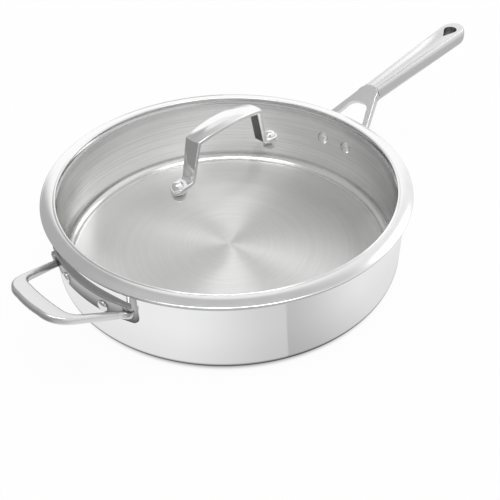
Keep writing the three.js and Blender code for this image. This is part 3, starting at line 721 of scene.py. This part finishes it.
def rivet_steel(name, tone):
    """Handle rivets: turned heads with a soft shine. Their tone is painted: lighter on the long handle's
    copy as painted light, darker on the helper's as painted shade.
    """
    s = Shader(name, Metallic=1.0)
    cloud = s.noise(s.place, scale=900, detail=3)
    colour = s.greys(cloud, tone - RIVET_CLOUD, tone + RIVET_CLOUD)
    s.set(Base_Color=colour, Roughness=s.ranged(cloud, 0.14, 0.20))
    return s.material


def strap_steel():
    """Lid handle: polished, with painted shade, nearly black, in a band along the middle of its inside
    faces.
    """
    s = Shader("strap_steel", Metallic=1.0)
    brushed = s.grain(STRAP_GRAIN)
    outward = s.vector("NORMALIZE", s.vector("SUBTRACT", s.place, (0, 0, LID_SEAT)))
    facing = s.vector("DOT_PRODUCT", outward, s.normal())
    inside = s.ramp(facing, *INWARD_FACE, shape="LINEAR")
    # Painted shade, nearly black, on inward faces in a band along the strap's middle
    half = STRAP_SHADE_HALF_WIDTH
    channel = s.ramp(s.across(), half + STRAP_SHADE_BLUR, half - STRAP_SHADE_BLUR)
    polished = s.greys(brushed, 0.86, 0.90)
    dark = s.greys(brushed, 0.07, 0.12)
    colour = s.colours(s.product(inside, channel), polished, dark)
    s.set(Base_Color=colour, Roughness=s.ranged(brushed, 0.08, 0.14))
    return s.material


def aluminium_core():
    s = Shader("aluminium_core", Metallic=1.0)
    lines = s.noise(s.rings(), scale=1200, detail=3)
    colour = s.colours(lines, (0.70, 0.71, 0.72), (0.80, 0.81, 0.82))
    s.set(Base_Color=colour, Roughness=s.ranged(lines, 0.35, 0.5))
    return s.material


def silicone():
    """Pale silicone of the gaskets."""
    s = Shader("pale_silicone")
    cloud = s.noise(s.place, scale=420, detail=3)
    colour = s.colours(cloud, (0.74, 0.74, 0.72), (0.84, 0.84, 0.82))
    s.set(Base_Color=colour, Roughness=s.ranged(cloud, 0.45, 0.6))
    s.bump(cloud, strength=0.05, distance=0.00005)
    return s.material


def clear_glass():
    """Clear tempered glass: it lets light straight through and mirrors by the angle it is seen at."""
    s = Shader("clear_glass")
    wiped = s.noise(s.place, scale=25, detail=4)
    clear = s.node("BsdfTransparent", "BSDF", {"Color": s.greys(wiped, 0.98, 0.99)})
    mirror = s.node("BsdfGlossy", "BSDF", {"Roughness": s.ranged(wiped, 0.0, 0.03)})
    inside = s.add("NewGeometry").outputs["Backfacing"]
    index = s.mix(inside, GLASS_INDEX, 1 / GLASS_INDEX)
    angle = s.node("Fresnel", "Fac", {"IOR": index})
    s.surface(s.shaders(s.product(angle, GLASS_SHINE), clear, mirror))
    s.tree.nodes.remove(s.principled)
    return s.material


# Pan

def pan_surface(depth):
    """Profile a given depth inside the pan's outer face, from the axis to the end of the lip."""
    corner = (PAN_OUTER_RADIUS - BASE_CORNER_RADIUS, BASE_CORNER_RADIUS)
    corner_radius = BASE_CORNER_RADIUS - depth
    lip_radius = LIP_BEND_RADIUS + depth
    lip = arc((PAN_OUTER_RADIUS + LIP_BEND_RADIUS, LIP_START), (lip_radius, lip_radius), math.pi, LIP_END)
    end = (lip[-1][0] + LIP_EDGE * math.sin(LIP_END), lip[-1][1] - LIP_EDGE * math.cos(LIP_END))
    rest = [(corner[0] * share, depth) for share in BASE_RINGS]
    return rest + arc(corner, (corner_radius, corner_radius), -math.pi / 2, 0, CORNER_STEPS) + lip + [end]


def make_pan(skin, core, lining):
    layers = (
        ("mirror_skin", "pan_outer_skin", "polished_steel", skin, SKIN_THICKNESS),
        ("alloy_core", "pan_core", "core_aluminium", core, CORE_THICKNESS),
        ("satin_liner", "pan_inner_liner", "satin_steel", lining, LINER_THICKNESS),
    )
    depth = 0.0
    for name, node, slot, material, thickness in layers:
        profile = pan_surface(depth) + pan_surface(depth + thickness)[::-1]
        piece(revolved(name, profile), material, "pan", node)
        depth += thickness + BOND_GAP


# Rivets

def domed_head(seat, shank, radius, edge, height):
    """Profile of a domed head, from the shank out and over to the axis."""
    dome = arc((0, seat + edge), (radius, height - edge), 0, math.pi / 2)
    return [(shank, seat), (radius, seat)] + dome[:-1] + [(0, seat + height)]


def make_handle_rivets(lit, shaded):
    dome = (RIVET_HEAD_EDGE, RIVET_HEAD_HEIGHT)
    inner = domed_head(-PAN_INNER_RADIUS, RIVET_SHANK_RADIUS, RIVET_INSIDE_RADIUS, *dome)
    outer = domed_head(PLATE_OUTER_RADIUS, RIVET_SHANK_RADIUS, RIVET_HEAD_RADIUS, *dome)
    profile = [(radius, -along) for radius, along in reversed(inner)] + outer
    handles = (
        ("long", 0.0, LONG_RIVET_SPACING, LONG_RIVET_Z, lit),
        ("helper", math.pi, HELPER_RIVET_SPACING, HELPER_RIVET_Z, shaded),
    )
    for handle, side, spacing, height, material in handles:
        for label, hand in (("left", 1), ("right", -1)):
            turn = side + hand * math.asin(spacing / 2 / PAN_OUTER_RADIUS)
            mesh = revolved(f"{handle}_rivet_{label}_dome", profile, RIVET_SEGMENTS)
            lying = Matrix.Rotation(turn, 4, "Z") @ Matrix.Rotation(math.pi / 2, 4, "Y")
            mesh.transform(Matrix.Translation((0, 0, height)) @ lying)
            piece(mesh, material, "pan", f"{handle}_handle_rivet_{label}")


# Handles on the wall

def wall_plate(name, columns, side, edge):
    """Curved plate on the pan's wall. Its columns are (across, bottom, top, thickness), end to end."""
    rings = []
    for across, bottom, top, thickness in columns:
        outer = PAN_OUTER_RADIUS + thickness
        upper = arc((outer - edge, top - edge), (edge, edge), math.pi / 2, 0, EDGE_STEPS)
        lower = arc((outer - edge, bottom + edge), (edge, edge), 0, -math.pi / 2, EDGE_STEPS)
        section = [(PAN_OUTER_RADIUS, top)] + upper + lower + [(PAN_OUTER_RADIUS, bottom)]
        rings.append([(side * math.sqrt(r ** 2 - across ** 2), side * across, z) for r, z in section])
    return lofted(name, rings)


def plate_depth(across, half_width, edge):
    """Thickness of a plate, rounded off at its ends."""
    past = clamp(abs(across) - (half_width - edge), 0, edge)
    return PLATE_THICKNESS + SEAT_GAP - edge + math.sqrt(edge ** 2 - past ** 2)


def corner_rise(across, half_width):
    """How far a plate's lower edge rises at its rounded end."""
    past = clamp(abs(across) - (half_width - PLATE_CORNER), 0, PLATE_CORNER)
    return PLATE_CORNER - math.sqrt(PLATE_CORNER ** 2 - past ** 2)


def slid_to_wall(mesh, outward):
    """Draws what reaches inside the middle of the wall plates back out along a direction."""
    radius = PLATE_INNER_RADIUS + PLATE_THICKNESS / 2
    for vertex in mesh.vertices:
        x, y, _ = vertex.co
        if math.hypot(x, y) < radius:
            target = math.copysign(math.sqrt(radius ** 2 - y ** 2), outward.x)
            vertex.co += outward * ((target - x) / outward.x)


YOKE_LENGTH = YOKE_REACH / math.cos(YOKE_SLOPE)
YOKE_SPLAY = (YOKE_ROOT_WIDTH / 2 - YOKE_END_RADIUS) / (YOKE_LENGTH - YOKE_END_RADIUS)
YOKE_DOWN = Vector((-math.cos(YOKE_SLOPE), 0, -math.sin(YOKE_SLOPE)))
YOKE_FRAME = basis(YOKE_DOWN, (0, -1, 0), (YOKE_END_X, 0, YOKE_END_Z))


def yoke_half_width(down):
    return YOKE_END_RADIUS + YOKE_SPLAY * (down - YOKE_END_RADIUS)


def yoke_end(margin):
    """Round end of the yoke, grown by a margin."""
    radius = YOKE_END_RADIUS + margin
    return arc((YOKE_END_RADIUS, 0), (radius, radius), math.pi / 2, 1.5 * math.pi, 2 * ARC_STEPS)


def window_outline(root, margin):
    """Arched window between the prongs, grown by a margin."""
    spring = YOKE_WINDOW_INSET + YOKE_WINDOW_ARCH
    half = yoke_half_width(spring) - PRONG_WIDTH + margin
    radii = (YOKE_WINDOW_ARCH + margin, half)
    arch = arc((spring, 0), radii, math.pi / 2, 1.5 * math.pi, 2 * ARC_STEPS)
    foot = yoke_half_width(root) - PRONG_WIDTH + margin
    return [(root, foot)] + arch + [(root, -foot)]


def window_cut():
    """Window's volume, widening downward so that its walls fall away from sight."""
    beyond = 2 * YOKE_LENGTH
    levels = ((-3 * YOKE_THICKNESS, 3 * YOKE_WINDOW_DRAFT), (-YOKE_EDGE, 0), (YOKE_EDGE, 0))
    rings = [[(x, y, z) for x, y in window_outline(beyond, grow)] for z, grow in levels]
    return lofted("window_cut", rings)


def make_yoke(material):
    root = YOKE_LENGTH + YOKE_OVERRUN
    half = yoke_half_width(root)
    outline = [(root, half)] + yoke_end(0) + [(root, -half)]
    fork = rounded_plate("yoke_fork", outline, YOKE_THICKNESS, YOKE_EDGE)
    fork = without(fork, window_cut())
    fork.transform(YOKE_FRAME)
    slid_to_wall(fork, -YOKE_DOWN)
    half = YOKE_PLATE_HALF_WIDTH
    columns = []
    for i in range(-PLATE_STEPS, PLATE_STEPS + 1):
        across = half * math.sin(i / PLATE_STEPS * math.pi / 2)
        rise = corner_rise(across, half)
        depth = plate_depth(across, half, PLATE_EDGE)
        columns.append((across, YOKE_PLATE_BOTTOM + rise, YOKE_PLATE_TOP - rise, depth))
    plate = wall_plate("yoke_plate", columns, 1, PLATE_EDGE)
    piece(joined("forked_yoke", fork, plate), material, "pan", "long_handle_yoke")


def grip_ring(x, narrowing):
    """Section of the grip: dished top between two ridges, round shoulders, flat underside."""
    along = (x - YOKE_END_X) / GRIP_LENGTH
    half = lerp(GRIP_FRONT_WIDTH, GRIP_TIP_WIDTH, along) / 2 * narrowing
    side = half + GRIP_BULGE * narrowing
    ridge = half - lerp(GRIP_FRONT_RIDGE, GRIP_TIP_RIDGE, along) * narrowing
    crown_line = YOKE_END_Z - GRIP_DROP + (x - YOKE_END_X) * math.tan(GRIP_SLOPE)
    waist = (side, -GRIP_WAIST_DEPTH * GRIP_DEPTH)
    keel = [(0, -GRIP_DEPTH), (GRIP_KEEL_WIDTH * half, -GRIP_DEPTH)]
    bilge = (GRIP_BILGE_WIDTH * side, -GRIP_BILGE_DEPTH * GRIP_DEPTH)
    chine = (side, -GRIP_CHINE_DEPTH * GRIP_DEPTH)
    lower = eased(keel + [bilge, chine, waist], GRIP_EDGE * narrowing)[1:]
    shoulder = curve_through(waist, (side, 0), (ridge, 0), 2 * EDGE_STEPS)[1:]
    depth = GRIP_DISH * smoothstep(x, HANG_HOLE_X, HANG_HOLE_X - 2 * HANG_HOLE_POINT)
    dish = [(ridge * share, -depth * (1 - share ** 2)) for share in DISH_SHARES]
    right = lower + shoulder + dish
    left = [(-y, z) for y, z in reversed(right)]
    return [(x, y, crown_line + z) for y, z in right + [(0, -depth)] + left]


def make_grip(material):
    front = YOKE_END_X - GRIP_DEPTH / math.tan(YOKE_SLOPE)
    tip_radius = GRIP_TIP_WIDTH / 2
    straight = [(lerp(front, GRIP_TIP_X - tip_radius, i / GRIP_STEPS), 1) for i in range(GRIP_STEPS)]
    turns = [GRIP_TIP_TURN * i / GRIP_STEPS for i in range(GRIP_STEPS + 1)]
    tip = [(GRIP_TIP_X - tip_radius * (1 - math.sin(turn)), math.cos(turn)) for turn in turns]
    body = lofted("grip_body", [grip_ring(x, narrowing) for x, narrowing in straight + tip])
    lean = math.acos(HANG_HOLE_RADIUS / HANG_HOLE_POINT)
    hole_radii = (HANG_HOLE_RADIUS, HANG_HOLE_RADIUS)
    hole = [(HANG_HOLE_X - HANG_HOLE_POINT, 0)]
    hole += arc((HANG_HOLE_X, 0), hole_radii, lean - math.pi, math.pi - lean, 3 * ARC_STEPS)
    hang_hole = prism("hang_hole_cut", hole, 0, 2 * PAN_HEIGHT)
    reach = 3 * YOKE_LENGTH
    room = [(reach, YOKE_END_RADIUS * 3)] + yoke_end(SEAT_GAP) + [(reach, -YOKE_END_RADIUS * 3)]
    yoke_room = prism("yoke_cut", room, -YOKE_THICKNESS - SEAT_GAP, reach)
    square = [(reach, reach), (-reach, reach), (-reach, -reach), (reach, -reach)]
    yoke_cuts = (yoke_room, prism("above_cut", square, 0, reach), window_cut())
    for cut in yoke_cuts:
        cut.transform(YOKE_FRAME)
    shape = without(body, hang_hole, *yoke_cuts)
    shape.name = "hollow_grip"
    piece(shape, material, "pan", "long_handle_grip")


HELPER_LENGTH = HELPER_REACH / math.cos(HELPER_SLOPE)
HELPER_TAPER = (HELPER_ROOT_HALF_WIDTH - HELPER_TIP_HALF_WIDTH) / HELPER_LENGTH
HELPER_OUT = Vector((-math.cos(HELPER_SLOPE), 0, math.sin(HELPER_SLOPE)))


def loop_path(root, tip, root_half, corner):
    """D-shaped path out along one side, round the bowed end and back along the other."""
    def half_at(out):
        return root_half - HELPER_TAPER * out
    edge = tip - HELPER_BULGE
    near = (edge - corner, half_at(edge - corner))
    end = (edge, half_at(edge) - corner)
    first = [(root, half_at(root))] + curve_through(near, (edge, half_at(edge)), end)
    bow = curve_through(end, (tip + HELPER_BULGE, 0), (end[0], -end[1]))
    return first + bow[1:-1] + [(x, -y) for x, y in reversed(first)]


def helper_plate():
    """Wall plate with an ear standing up at each end and a fillet beside each ear."""
    half = HELPER_PLATE_HALF_WIDTH
    neck = half - HELPER_EAR_WIDTH
    fillet = HELPER_NECK_FILLET
    centre = (neck - fillet, HELPER_PLATE_TOP + fillet)
    side = arc(centre, (fillet, fillet), -math.pi / 2, 0, NECK_STEPS)
    turns = [math.pi / 2 * i / EAR_STEPS for i in range(EAR_STEPS + 1)]
    side += [(neck + HELPER_EAR_WIDTH * math.sin(turn), HELPER_EAR_TOP) for turn in turns]
    steps = range(1 - HELPER_TOP_STEPS, HELPER_TOP_STEPS)
    middle = [(side[0][0] * i / HELPER_TOP_STEPS, HELPER_PLATE_TOP) for i in steps]
    tops = [(-across, top) for across, top in reversed(side)] + middle + side
    columns = []
    for across, top in tops:
        bottom = HELPER_PLATE_BOTTOM + corner_rise(across, half)
        thinner = HELPER_PLATE_THINNING * smoothstep(abs(across), HELPER_RIVET_SPACING / 2, neck)
        columns.append((across, bottom, top, plate_depth(across, half, HELPER_PLATE_EDGE) - thinner))
    return wall_plate("helper_plate", columns, -1, HELPER_PLATE_EDGE)


def helper_flare(hand):
    """Curve by which the outer side of one arm runs out to the end of the plate."""
    arm = HELPER_ROOT_HALF_WIDTH - HELPER_TAPER * HELPER_FLARE_START
    end = HELPER_PLATE_HALF_WIDTH - SEAT_GAP
    curve = curve_through((HELPER_FLARE_END, end), (HELPER_FLARE_END / 2, arm), (HELPER_FLARE_START, arm))
    return [(HELPER_FLARE_ROOT, hand * end)] + [(out, hand * across) for out, across in curve]


def lift_flares(mesh):
    """Bends the arms' flared ends upward along the plate."""
    width = HELPER_PLATE_HALF_WIDTH - HELPER_ROOT_HALF_WIDTH
    for vertex in mesh.vertices:
        past = clamp((abs(vertex.co.y) - HELPER_ROOT_HALF_WIDTH) / width)
        vertex.co.z += HELPER_FLARE_RISE * past ** 2


def make_helper(material):
    root = HELPER_FLARE_ROOT
    outer = loop_path(root, HELPER_LENGTH, HELPER_ROOT_HALF_WIDTH, HELPER_CORNER)
    outer = helper_flare(1) + outer[1:-1] + helper_flare(-1)[::-1]
    inner_half = HELPER_ROOT_HALF_WIDTH - HELPER_ARM_WIDTH
    inner = loop_path(root, HELPER_LENGTH - HELPER_BAR_WIDTH, inner_half, HELPER_WINDOW_CORNER)
    loop = rounded_plate("helper_loop", outer + inner[::-1], HELPER_THICKNESS, HELPER_EDGE)
    loop.transform(basis(HELPER_OUT, (0, -1, 0), (-PAN_OUTER_RADIUS, 0, HELPER_ROOT_Z)))
    lift_flares(loop)
    slid_to_wall(loop, HELPER_OUT)
    shape = joined("looped_helper", loop, helper_plate())
    piece(shape, material, "pan", "helper_handle")


# Lid

def glass_height(radius, depth=0.0):
    return DOME_CENTRE + math.sqrt((DOME_RADIUS - depth) ** 2 - radius ** 2)


def make_glass(material):
    radii = [GLASS_RADIUS * i / DOME_STEPS for i in range(DOME_STEPS + 1)]
    top = [(r, glass_height(r)) for r in radii]
    bottom = [(r, glass_height(r, GLASS_THICKNESS)) for r in radii]
    mesh = revolved("dome_glass", bottom + top[::-1])
    mesh.transform(Matrix.Translation((0, 0, LID_SEAT)))
    piece(mesh, material, "lid", "lid_glass")


def make_band(material):
    """Crowned flange on the lip, skirt inside the mouth and channel round the edge of the glass."""
    channel = GLASS_RADIUS + SEAT_GAP
    inner_low = glass_height(BAND_INNER_RADIUS) + SEAT_GAP
    leaf_top = glass_height(BAND_INNER_RADIUS, GLASS_THICKNESS) - SEAT_GAP
    leaf_out = glass_height(GLASS_RADIUS, GLASS_THICKNESS) - SEAT_GAP
    bead = BAND_INNER_RADIUS + BEAD_RADIUS
    flange_in = bead + BEAD_GROOVE
    curl = BAND_OUTER_RADIUS - CURL_WIDTH
    foot = BAND_OUTER_RADIUS - BAND_UNDERCUT
    profile = [(SKIRT_RADIUS, leaf_out - BAND_SHEET), (SKIRT_RADIUS, 0), (foot, 0)]
    profile += arc((curl, BAND_EDGE), (CURL_WIDTH, CURL_HEIGHT - BAND_EDGE), 0, CURL_TURN)
    rim = profile[-1]
    brow = (lerp(rim[0], flange_in, CROWN_BALANCE), BAND_CROWN)
    profile += curve_through(rim, brow, (flange_in, BAND_CROWN))
    profile += arc((bead, BAND_CROWN - BEAD_SINK), (BEAD_RADIUS, BEAD_HEIGHT), 0, math.pi)
    profile += [
        (BAND_INNER_RADIUS, inner_low),
        (channel, glass_height(GLASS_RADIUS) + SEAT_GAP),
        (channel, leaf_out),
        (BAND_INNER_RADIUS, leaf_top),
        (BAND_INNER_RADIUS, leaf_top - BAND_SHEET),
    ]
    mesh = revolved("rolled_band", profile, loop=True)
    mesh.transform(Matrix.Translation((0, 0, LID_SEAT)))
    piece(mesh, material, "lid", "lid_band")


FOOT_LEAN = math.asin(FOOT_RADIUS / DOME_RADIUS)
FOOT_HEIGHT = LID_SEAT + glass_height(FOOT_RADIUS)
STRAP_SEAT = 2 * SEAT_GAP + GASKET_THICKNESS
HEAD_SEAT = STRAP_SEAT + STRAP_THICKNESS
LOWER_GASKET = -GLASS_THICKNESS - SEAT_GAP - GASKET_THICKNESS
BACKING_WASHER = LOWER_GASKET - SEAT_GAP - WASHER_THICKNESS
TAIL_SEAT = BACKING_WASHER - SEAT_GAP


def ring_profile(bottom, thickness, radius, edge):
    top = bottom + thickness
    return eased([(RING_BORE, bottom), (radius, bottom), (radius, top), (RING_BORE, top)], edge, loop=True)


def make_feet(steel, soft):
    shank = LID_RIVET_SHANK_RADIUS
    head = domed_head(HEAD_SEAT, shank, LID_RIVET_HEAD_RADIUS, RIVET_HEAD_EDGE, LID_RIVET_HEAD_HEIGHT)
    tail_end = TAIL_SEAT - LID_RIVET_TAIL_HEIGHT
    tail = [(0, tail_end), (LID_RIVET_TAIL_RADIUS, tail_end), (LID_RIVET_TAIL_RADIUS, TAIL_SEAT)]
    rivet = eased(tail, LID_RIVET_TAIL_EDGE) + [(shank, TAIL_SEAT)] + head
    upper = ring_profile(SEAT_GAP, GASKET_THICKNESS, GASKET_RADIUS, GASKET_EDGE)
    lower = ring_profile(LOWER_GASKET, GASKET_THICKNESS, LOWER_GASKET_RADIUS, GASKET_EDGE)
    washer = ring_profile(BACKING_WASHER, WASHER_THICKNESS, WASHER_RADIUS, WASHER_EDGE)
    for label, hand in (("front", -1), ("rear", 1)):
        foot = Matrix.Translation((hand * FOOT_RADIUS, 0, FOOT_HEIGHT))
        foot = foot @ Matrix.Rotation(hand * FOOT_LEAN, 4, "Y")
        kinds = (
            ("handle_rivet", rivet, False, steel, "polished_steel"),
            ("upper_gasket", upper, True, soft, "pale_silicone"),
            ("lower_gasket", lower, True, soft, "pale_silicone"),
            ("backing_washer", washer, True, steel, "polished_steel"),
        )
        for kind, profile, loop, material, slot in kinds:
            mesh = revolved(f"{kind}_{label}_turned", profile, RIVET_SEGMENTS, loop)
            mesh.transform(foot)
            piece(mesh, material, "lid", f"lid_{kind}_{label}")


FOOT_LIFT = STRAP_SEAT + STRAP_THICKNESS / 2
STRAP_FOOT_X = FOOT_RADIUS + FOOT_LIFT * math.sin(FOOT_LEAN)
STRAP_FOOT_Z = FOOT_HEIGHT + FOOT_LIFT * math.cos(FOOT_LEAN)


def tab_point(x):
    return (x, STRAP_FOOT_Z + (STRAP_FOOT_X - x) * math.tan(FOOT_LEAN))


STRAP_ANKLE = tab_point(STRAP_FOOT_HALF_SPREAD)
STRAP_SHOULDER = (STRAP_SHOULDER_HALF_SPREAD, STRAP_ANKLE[1] + STRAP_LEG_HEIGHT)


def strap_half_width(z):
    """Half the strap's width at a height: it widens up the legs and again over the arch."""
    up_leg = clamp((z - STRAP_ANKLE[1]) / STRAP_LEG_HEIGHT)
    up_arch = clamp((z - STRAP_SHOULDER[1]) / STRAP_ARCH)
    return lerp(lerp(2 * STRAP_FOOT_RADIUS, STRAP_SHOULDER_WIDTH, up_leg), STRAP_ARCH_WIDTH, up_arch) / 2


def arch_line():
    """Middle line of the arch, from the front shoulder to the rear one."""
    apex = (0, STRAP_SHOULDER[1] + 2 * STRAP_ARCH)
    return curve_through((-STRAP_SHOULDER[0], STRAP_SHOULDER[1]), apex, STRAP_SHOULDER, 4 * ARC_STEPS)


def strap_section(half, crown):
    """Points (across, out) of a section: flat inside, crowned outside, with eased edges."""
    lower = STRAP_THICKNESS / 2
    edge = min(STRAP_EDGE, half / 4)
    brow = half - edge
    right_low = curve_through((brow, -lower), (half, -lower), (half, -lower + edge), EDGE_STEPS)
    rise = crown * 2 * edge / half
    right_top = curve_through((half, lower - edge), (half, lower), (brow, lower + rise), EDGE_STEPS)
    top = [(brow * across, lower + crown * (1 - across ** 2)) for across in CROWN_SHARES]
    right = right_low + right_top + top
    return right + [(-across, out) for across, out in reversed(right[:-1])]


def strap_ring(middle, along, half, crown):
    """Section set square to the strap's middle line."""
    (x, z), (ax, az) = middle, along
    return [(x - out * az, across, z + out * ax) for across, out in strap_section(half, crown)]


def shoulder_ring(half):
    """Section on the rear shoulder's crease, where the arch meets the leg."""
    arch = (Vector(arch_line()[-1]) - Vector(arch_line()[-2])).normalized()
    leg = (Vector(STRAP_ANKLE) - Vector(STRAP_SHOULDER)).normalized()
    turn = arch.x * leg.y - arch.y * leg.x
    sections = zip(strap_section(half, SHOULDER_CROWN), strap_section(half, LEG_CROWN))
    ring = []
    for (across, arch_out), (_, leg_out) in sections:
        along = (leg_out - arch_out * arch.dot(leg)) / -turn
        x = STRAP_SHOULDER[0] - arch_out * arch.y + along * arch.x
        z = STRAP_SHOULDER[1] + arch_out * arch.x + along * arch.y
        ring.append((x, across, z))
    return ring


def rear_strap():
    """Rings from the middle of the arch to the rear tab's round end."""
    arch = [Vector(p) for p in arch_line()]
    half = len(arch) // 2
    rings = []
    for i in range(half, len(arch) - 1):
        along = (arch[i + 1] - arch[i - 1]).normalized()
        crown = lerp(STRAP_CROWN, SHOULDER_CROWN, (arch[i].x / STRAP_SHOULDER[0]) ** 2)
        rings.append(strap_ring(arch[i], along, strap_half_width(arch[i].y), crown))
    rings.append(shoulder_ring(strap_half_width(STRAP_SHOULDER[1])))
    ankle = STRAP_ANKLE[1]
    shares = [i / LEG_STEPS for i in range(LEG_STEPS + 1)]
    knees = [tuple(Vector(STRAP_SHOULDER).lerp(Vector(STRAP_ANKLE), share)) for share in shares[:-1]]
    bend = eased([knees[-1], STRAP_ANKLE, tab_point(STRAP_FOOT_X)], STRAP_BEND, steps=LEG_STEPS)
    leg = [Vector(p) for p in knees[:-1] + bend]
    for i in range(1, len(leg) - 1):
        along = (leg[i + 1] - leg[i - 1]).normalized()
        crown = LEG_CROWN * smoothstep(leg[i].y, ankle + STRAP_BEND, ankle + 3 * STRAP_BEND)
        rings.append(strap_ring(leg[i], along, strap_half_width(leg[i].y), crown))
    along = (leg[-1] - leg[-2]).normalized()
    for share in shares:
        turn = TAB_TURN * share
        end = tab_point(STRAP_FOOT_X + STRAP_FOOT_RADIUS * math.sin(turn))
        rings.append(strap_ring(end, along, STRAP_FOOT_RADIUS * math.cos(turn), 0.0))
    return rings


def make_strap(material):
    rear = rear_strap()
    front = [[(-x, y, z) for x, y, z in ring] for ring in reversed(rear[1:])]
    piece(lofted("bent_strap", front + rear), material, "lid", "lid_handle")


# Studio

def painted_floor_reflection(s, distance):
    """What the polished wall mirrors, painted into the floor's glow for reflections only: a white sheet on
    its left, a grey one on its right, then a room, with painted shadow near the pan and painted light a
    little above white further out.
    """
    azimuth = s.math("ARCTAN2", s.along(s.place, 90, 0), s.along(s.place, 0, 0))
    seam = s.along(s.place, SHEET_SEAM_TURN - 90, 0)
    offset = PAN_OUTER_RADIUS * math.sin(math.radians(SHEET_SEAM_TURN - SHEET_SEAM_START))
    left = s.ramp(seam, offset - SEAM_BLUR, offset + SEAM_BLUR)
    sheet = s.mix(left, s.ramp(azimuth, *PAINTED_GREY_SHEET), s.ramp(azimuth, *PAINTED_WHITE_SHEET))
    room = s.mix(s.ramp(azimuth, *BACK_START), s.ramp(azimuth, *PAINTED_ROOM), s.ramp(distance, *BACK))
    level = s.mix(s.ramp(distance, *SHEET_END), sheet, room)
    return s.product(level, s.ramp(distance, *MIRROR_PAINTED_SHADOW), s.ramp(distance, *MIRROR_RISE))


def make_floor():
    """Pale floor that stays near white and keeps the shadow under the pan, with a painted shadow at the
    pan's foot and painted levels for reflections.
    """
    corners = [(-1, -1), (1, -1), (1, 1), (-1, 1)]
    points = [(x * FLOOR_HALF_WIDTH, y * FLOOR_HALF_WIDTH, 0) for x, y in corners]
    floor = bpy.data.objects.new("studio_floor", make_mesh("studio_floor", points, [(0, 1, 2, 3)]))
    link(floor)
    s = Shader("studio_floor", Roughness=0.9)
    distance = s.reach(s.place)
    paper = s.greys(s.noise(s.place, scale=3, detail=2), 0.93, 0.95)
    # Painted shadow in the floor's colour at the pan's foot
    s.set(Base_Color=s.vector("MULTIPLY", paper, s.ramp(distance, *FLOOR_PAINTED_SHADOW)))
    path = s.add("LightPath").outputs
    mirrored = path["Is Glossy Ray"]
    # Reflections see the floor's painted levels, other rays a glow of 1
    strength = s.mix(mirrored, 1.0, painted_floor_reflection(s, distance))
    glow = s.node("Emission", "Emission", {"Strength": strength})
    seen = s.math("MAXIMUM", path["Is Camera Ray"], path["Is Transmission Ray"])
    share = s.math("MAXIMUM", s.product(seen, s.ramp(distance, *FOOT_GLOW)), mirrored)
    s.surface(s.shaders(share, s.principled.outputs["BSDF"], glow))
    floor.data.materials.append(s.material)


def card(s, level, vector, azimuth, elevation, inner, outer, brightness):
    """A round soft card: its full brightness within an angle, nothing beyond a wider one."""
    facing = s.along(vector, azimuth, elevation)
    share = s.ramp(facing, math.cos(math.radians(outer)), math.cos(math.radians(inner)))
    return s.mix(share, level, brightness)


def strip(s, level, vector):
    """A soft box overhead that runs from left to right."""
    front = s.along(vector, 0, 0)
    sideways = s.math("ABSOLUTE", s.along(vector, 90, 0))
    above = s.ramp(s.along(vector, 0, 90), *STRIP_ABOVE)
    share = s.product(
        s.ramp(front, *STRIP_NEAR), s.ramp(front, *STRIP_FAR), s.ramp(sideways, *STRIP_ENDS), above)
    return s.mix(share, level, STRIP_LEVEL)


def make_studio():
    """White backdrop for the camera; a soft studio with pale and grey cards for everything else."""
    world = bpy.data.worlds.new("studio")
    bpy.context.scene.world = world
    world.use_nodes = True
    s = Nodes(world.node_tree)
    direction = s.add("TexCoord").outputs["Generated"]
    level = s.ramp(s.along(direction, SKY_AZIMUTH, 0), *SKY)
    for spot in CARDS:
        level = card(s, level, direction, *spot)
    level = strip(s, level, direction)
    shown = s.mix(s.add("LightPath").outputs["Is Camera Ray"], level, 1.0)
    background = world.node_tree.nodes["Background"]
    background.inputs["Color"].default_value = (1, 1, 1, 1)
    s.feed(background.inputs["Strength"], shown)


def make_camera():
    data = bpy.data.cameras.new("camera")
    data.lens = CAMERA_LENS
    data.clip_start = CAMERA_CLIP
    camera = bpy.data.objects.new("camera", data)
    link(camera)
    camera.location = CAMERA_PLACE
    camera.rotation_mode = "QUATERNION"
    level = (CAMERA_AIM - CAMERA_PLACE).to_track_quat("-Z", "Y")
    camera.rotation_quaternion = level @ Quaternion((0, 0, 1), CAMERA_ROLL)
    bpy.context.scene.camera = camera


mirror = polished_steel()
make_pan(mirror, aluminium_core(), satin_lining())
# The long handle's rivets carry painted light, the helper's painted shade
make_handle_rivets(rivet_steel("rivet_lit", RIVET_LIT_TONE), rivet_steel("rivet_shaded", RIVET_SHADED_TONE))
make_yoke(cast_steel("yoke_steel", YOKE_GRAIN, PLATE_FOOT_FADE))
make_grip(cast_steel("grip_steel", GRIP_GRAIN, PLATE_FOOT_FADE))
# The helper's wall plate gets painted shade toward its foot
make_helper(cast_steel("helper_steel", HELPER_GRAIN, PLATE_PAINTED_SHADE))
make_glass(clear_glass())
make_band(band_steel())
make_strap(strap_steel())
make_feet(mirror, silicone())
make_floor()
make_studio()
make_camera()
bpy.context.scene.view_settings.view_transform = "Standard"
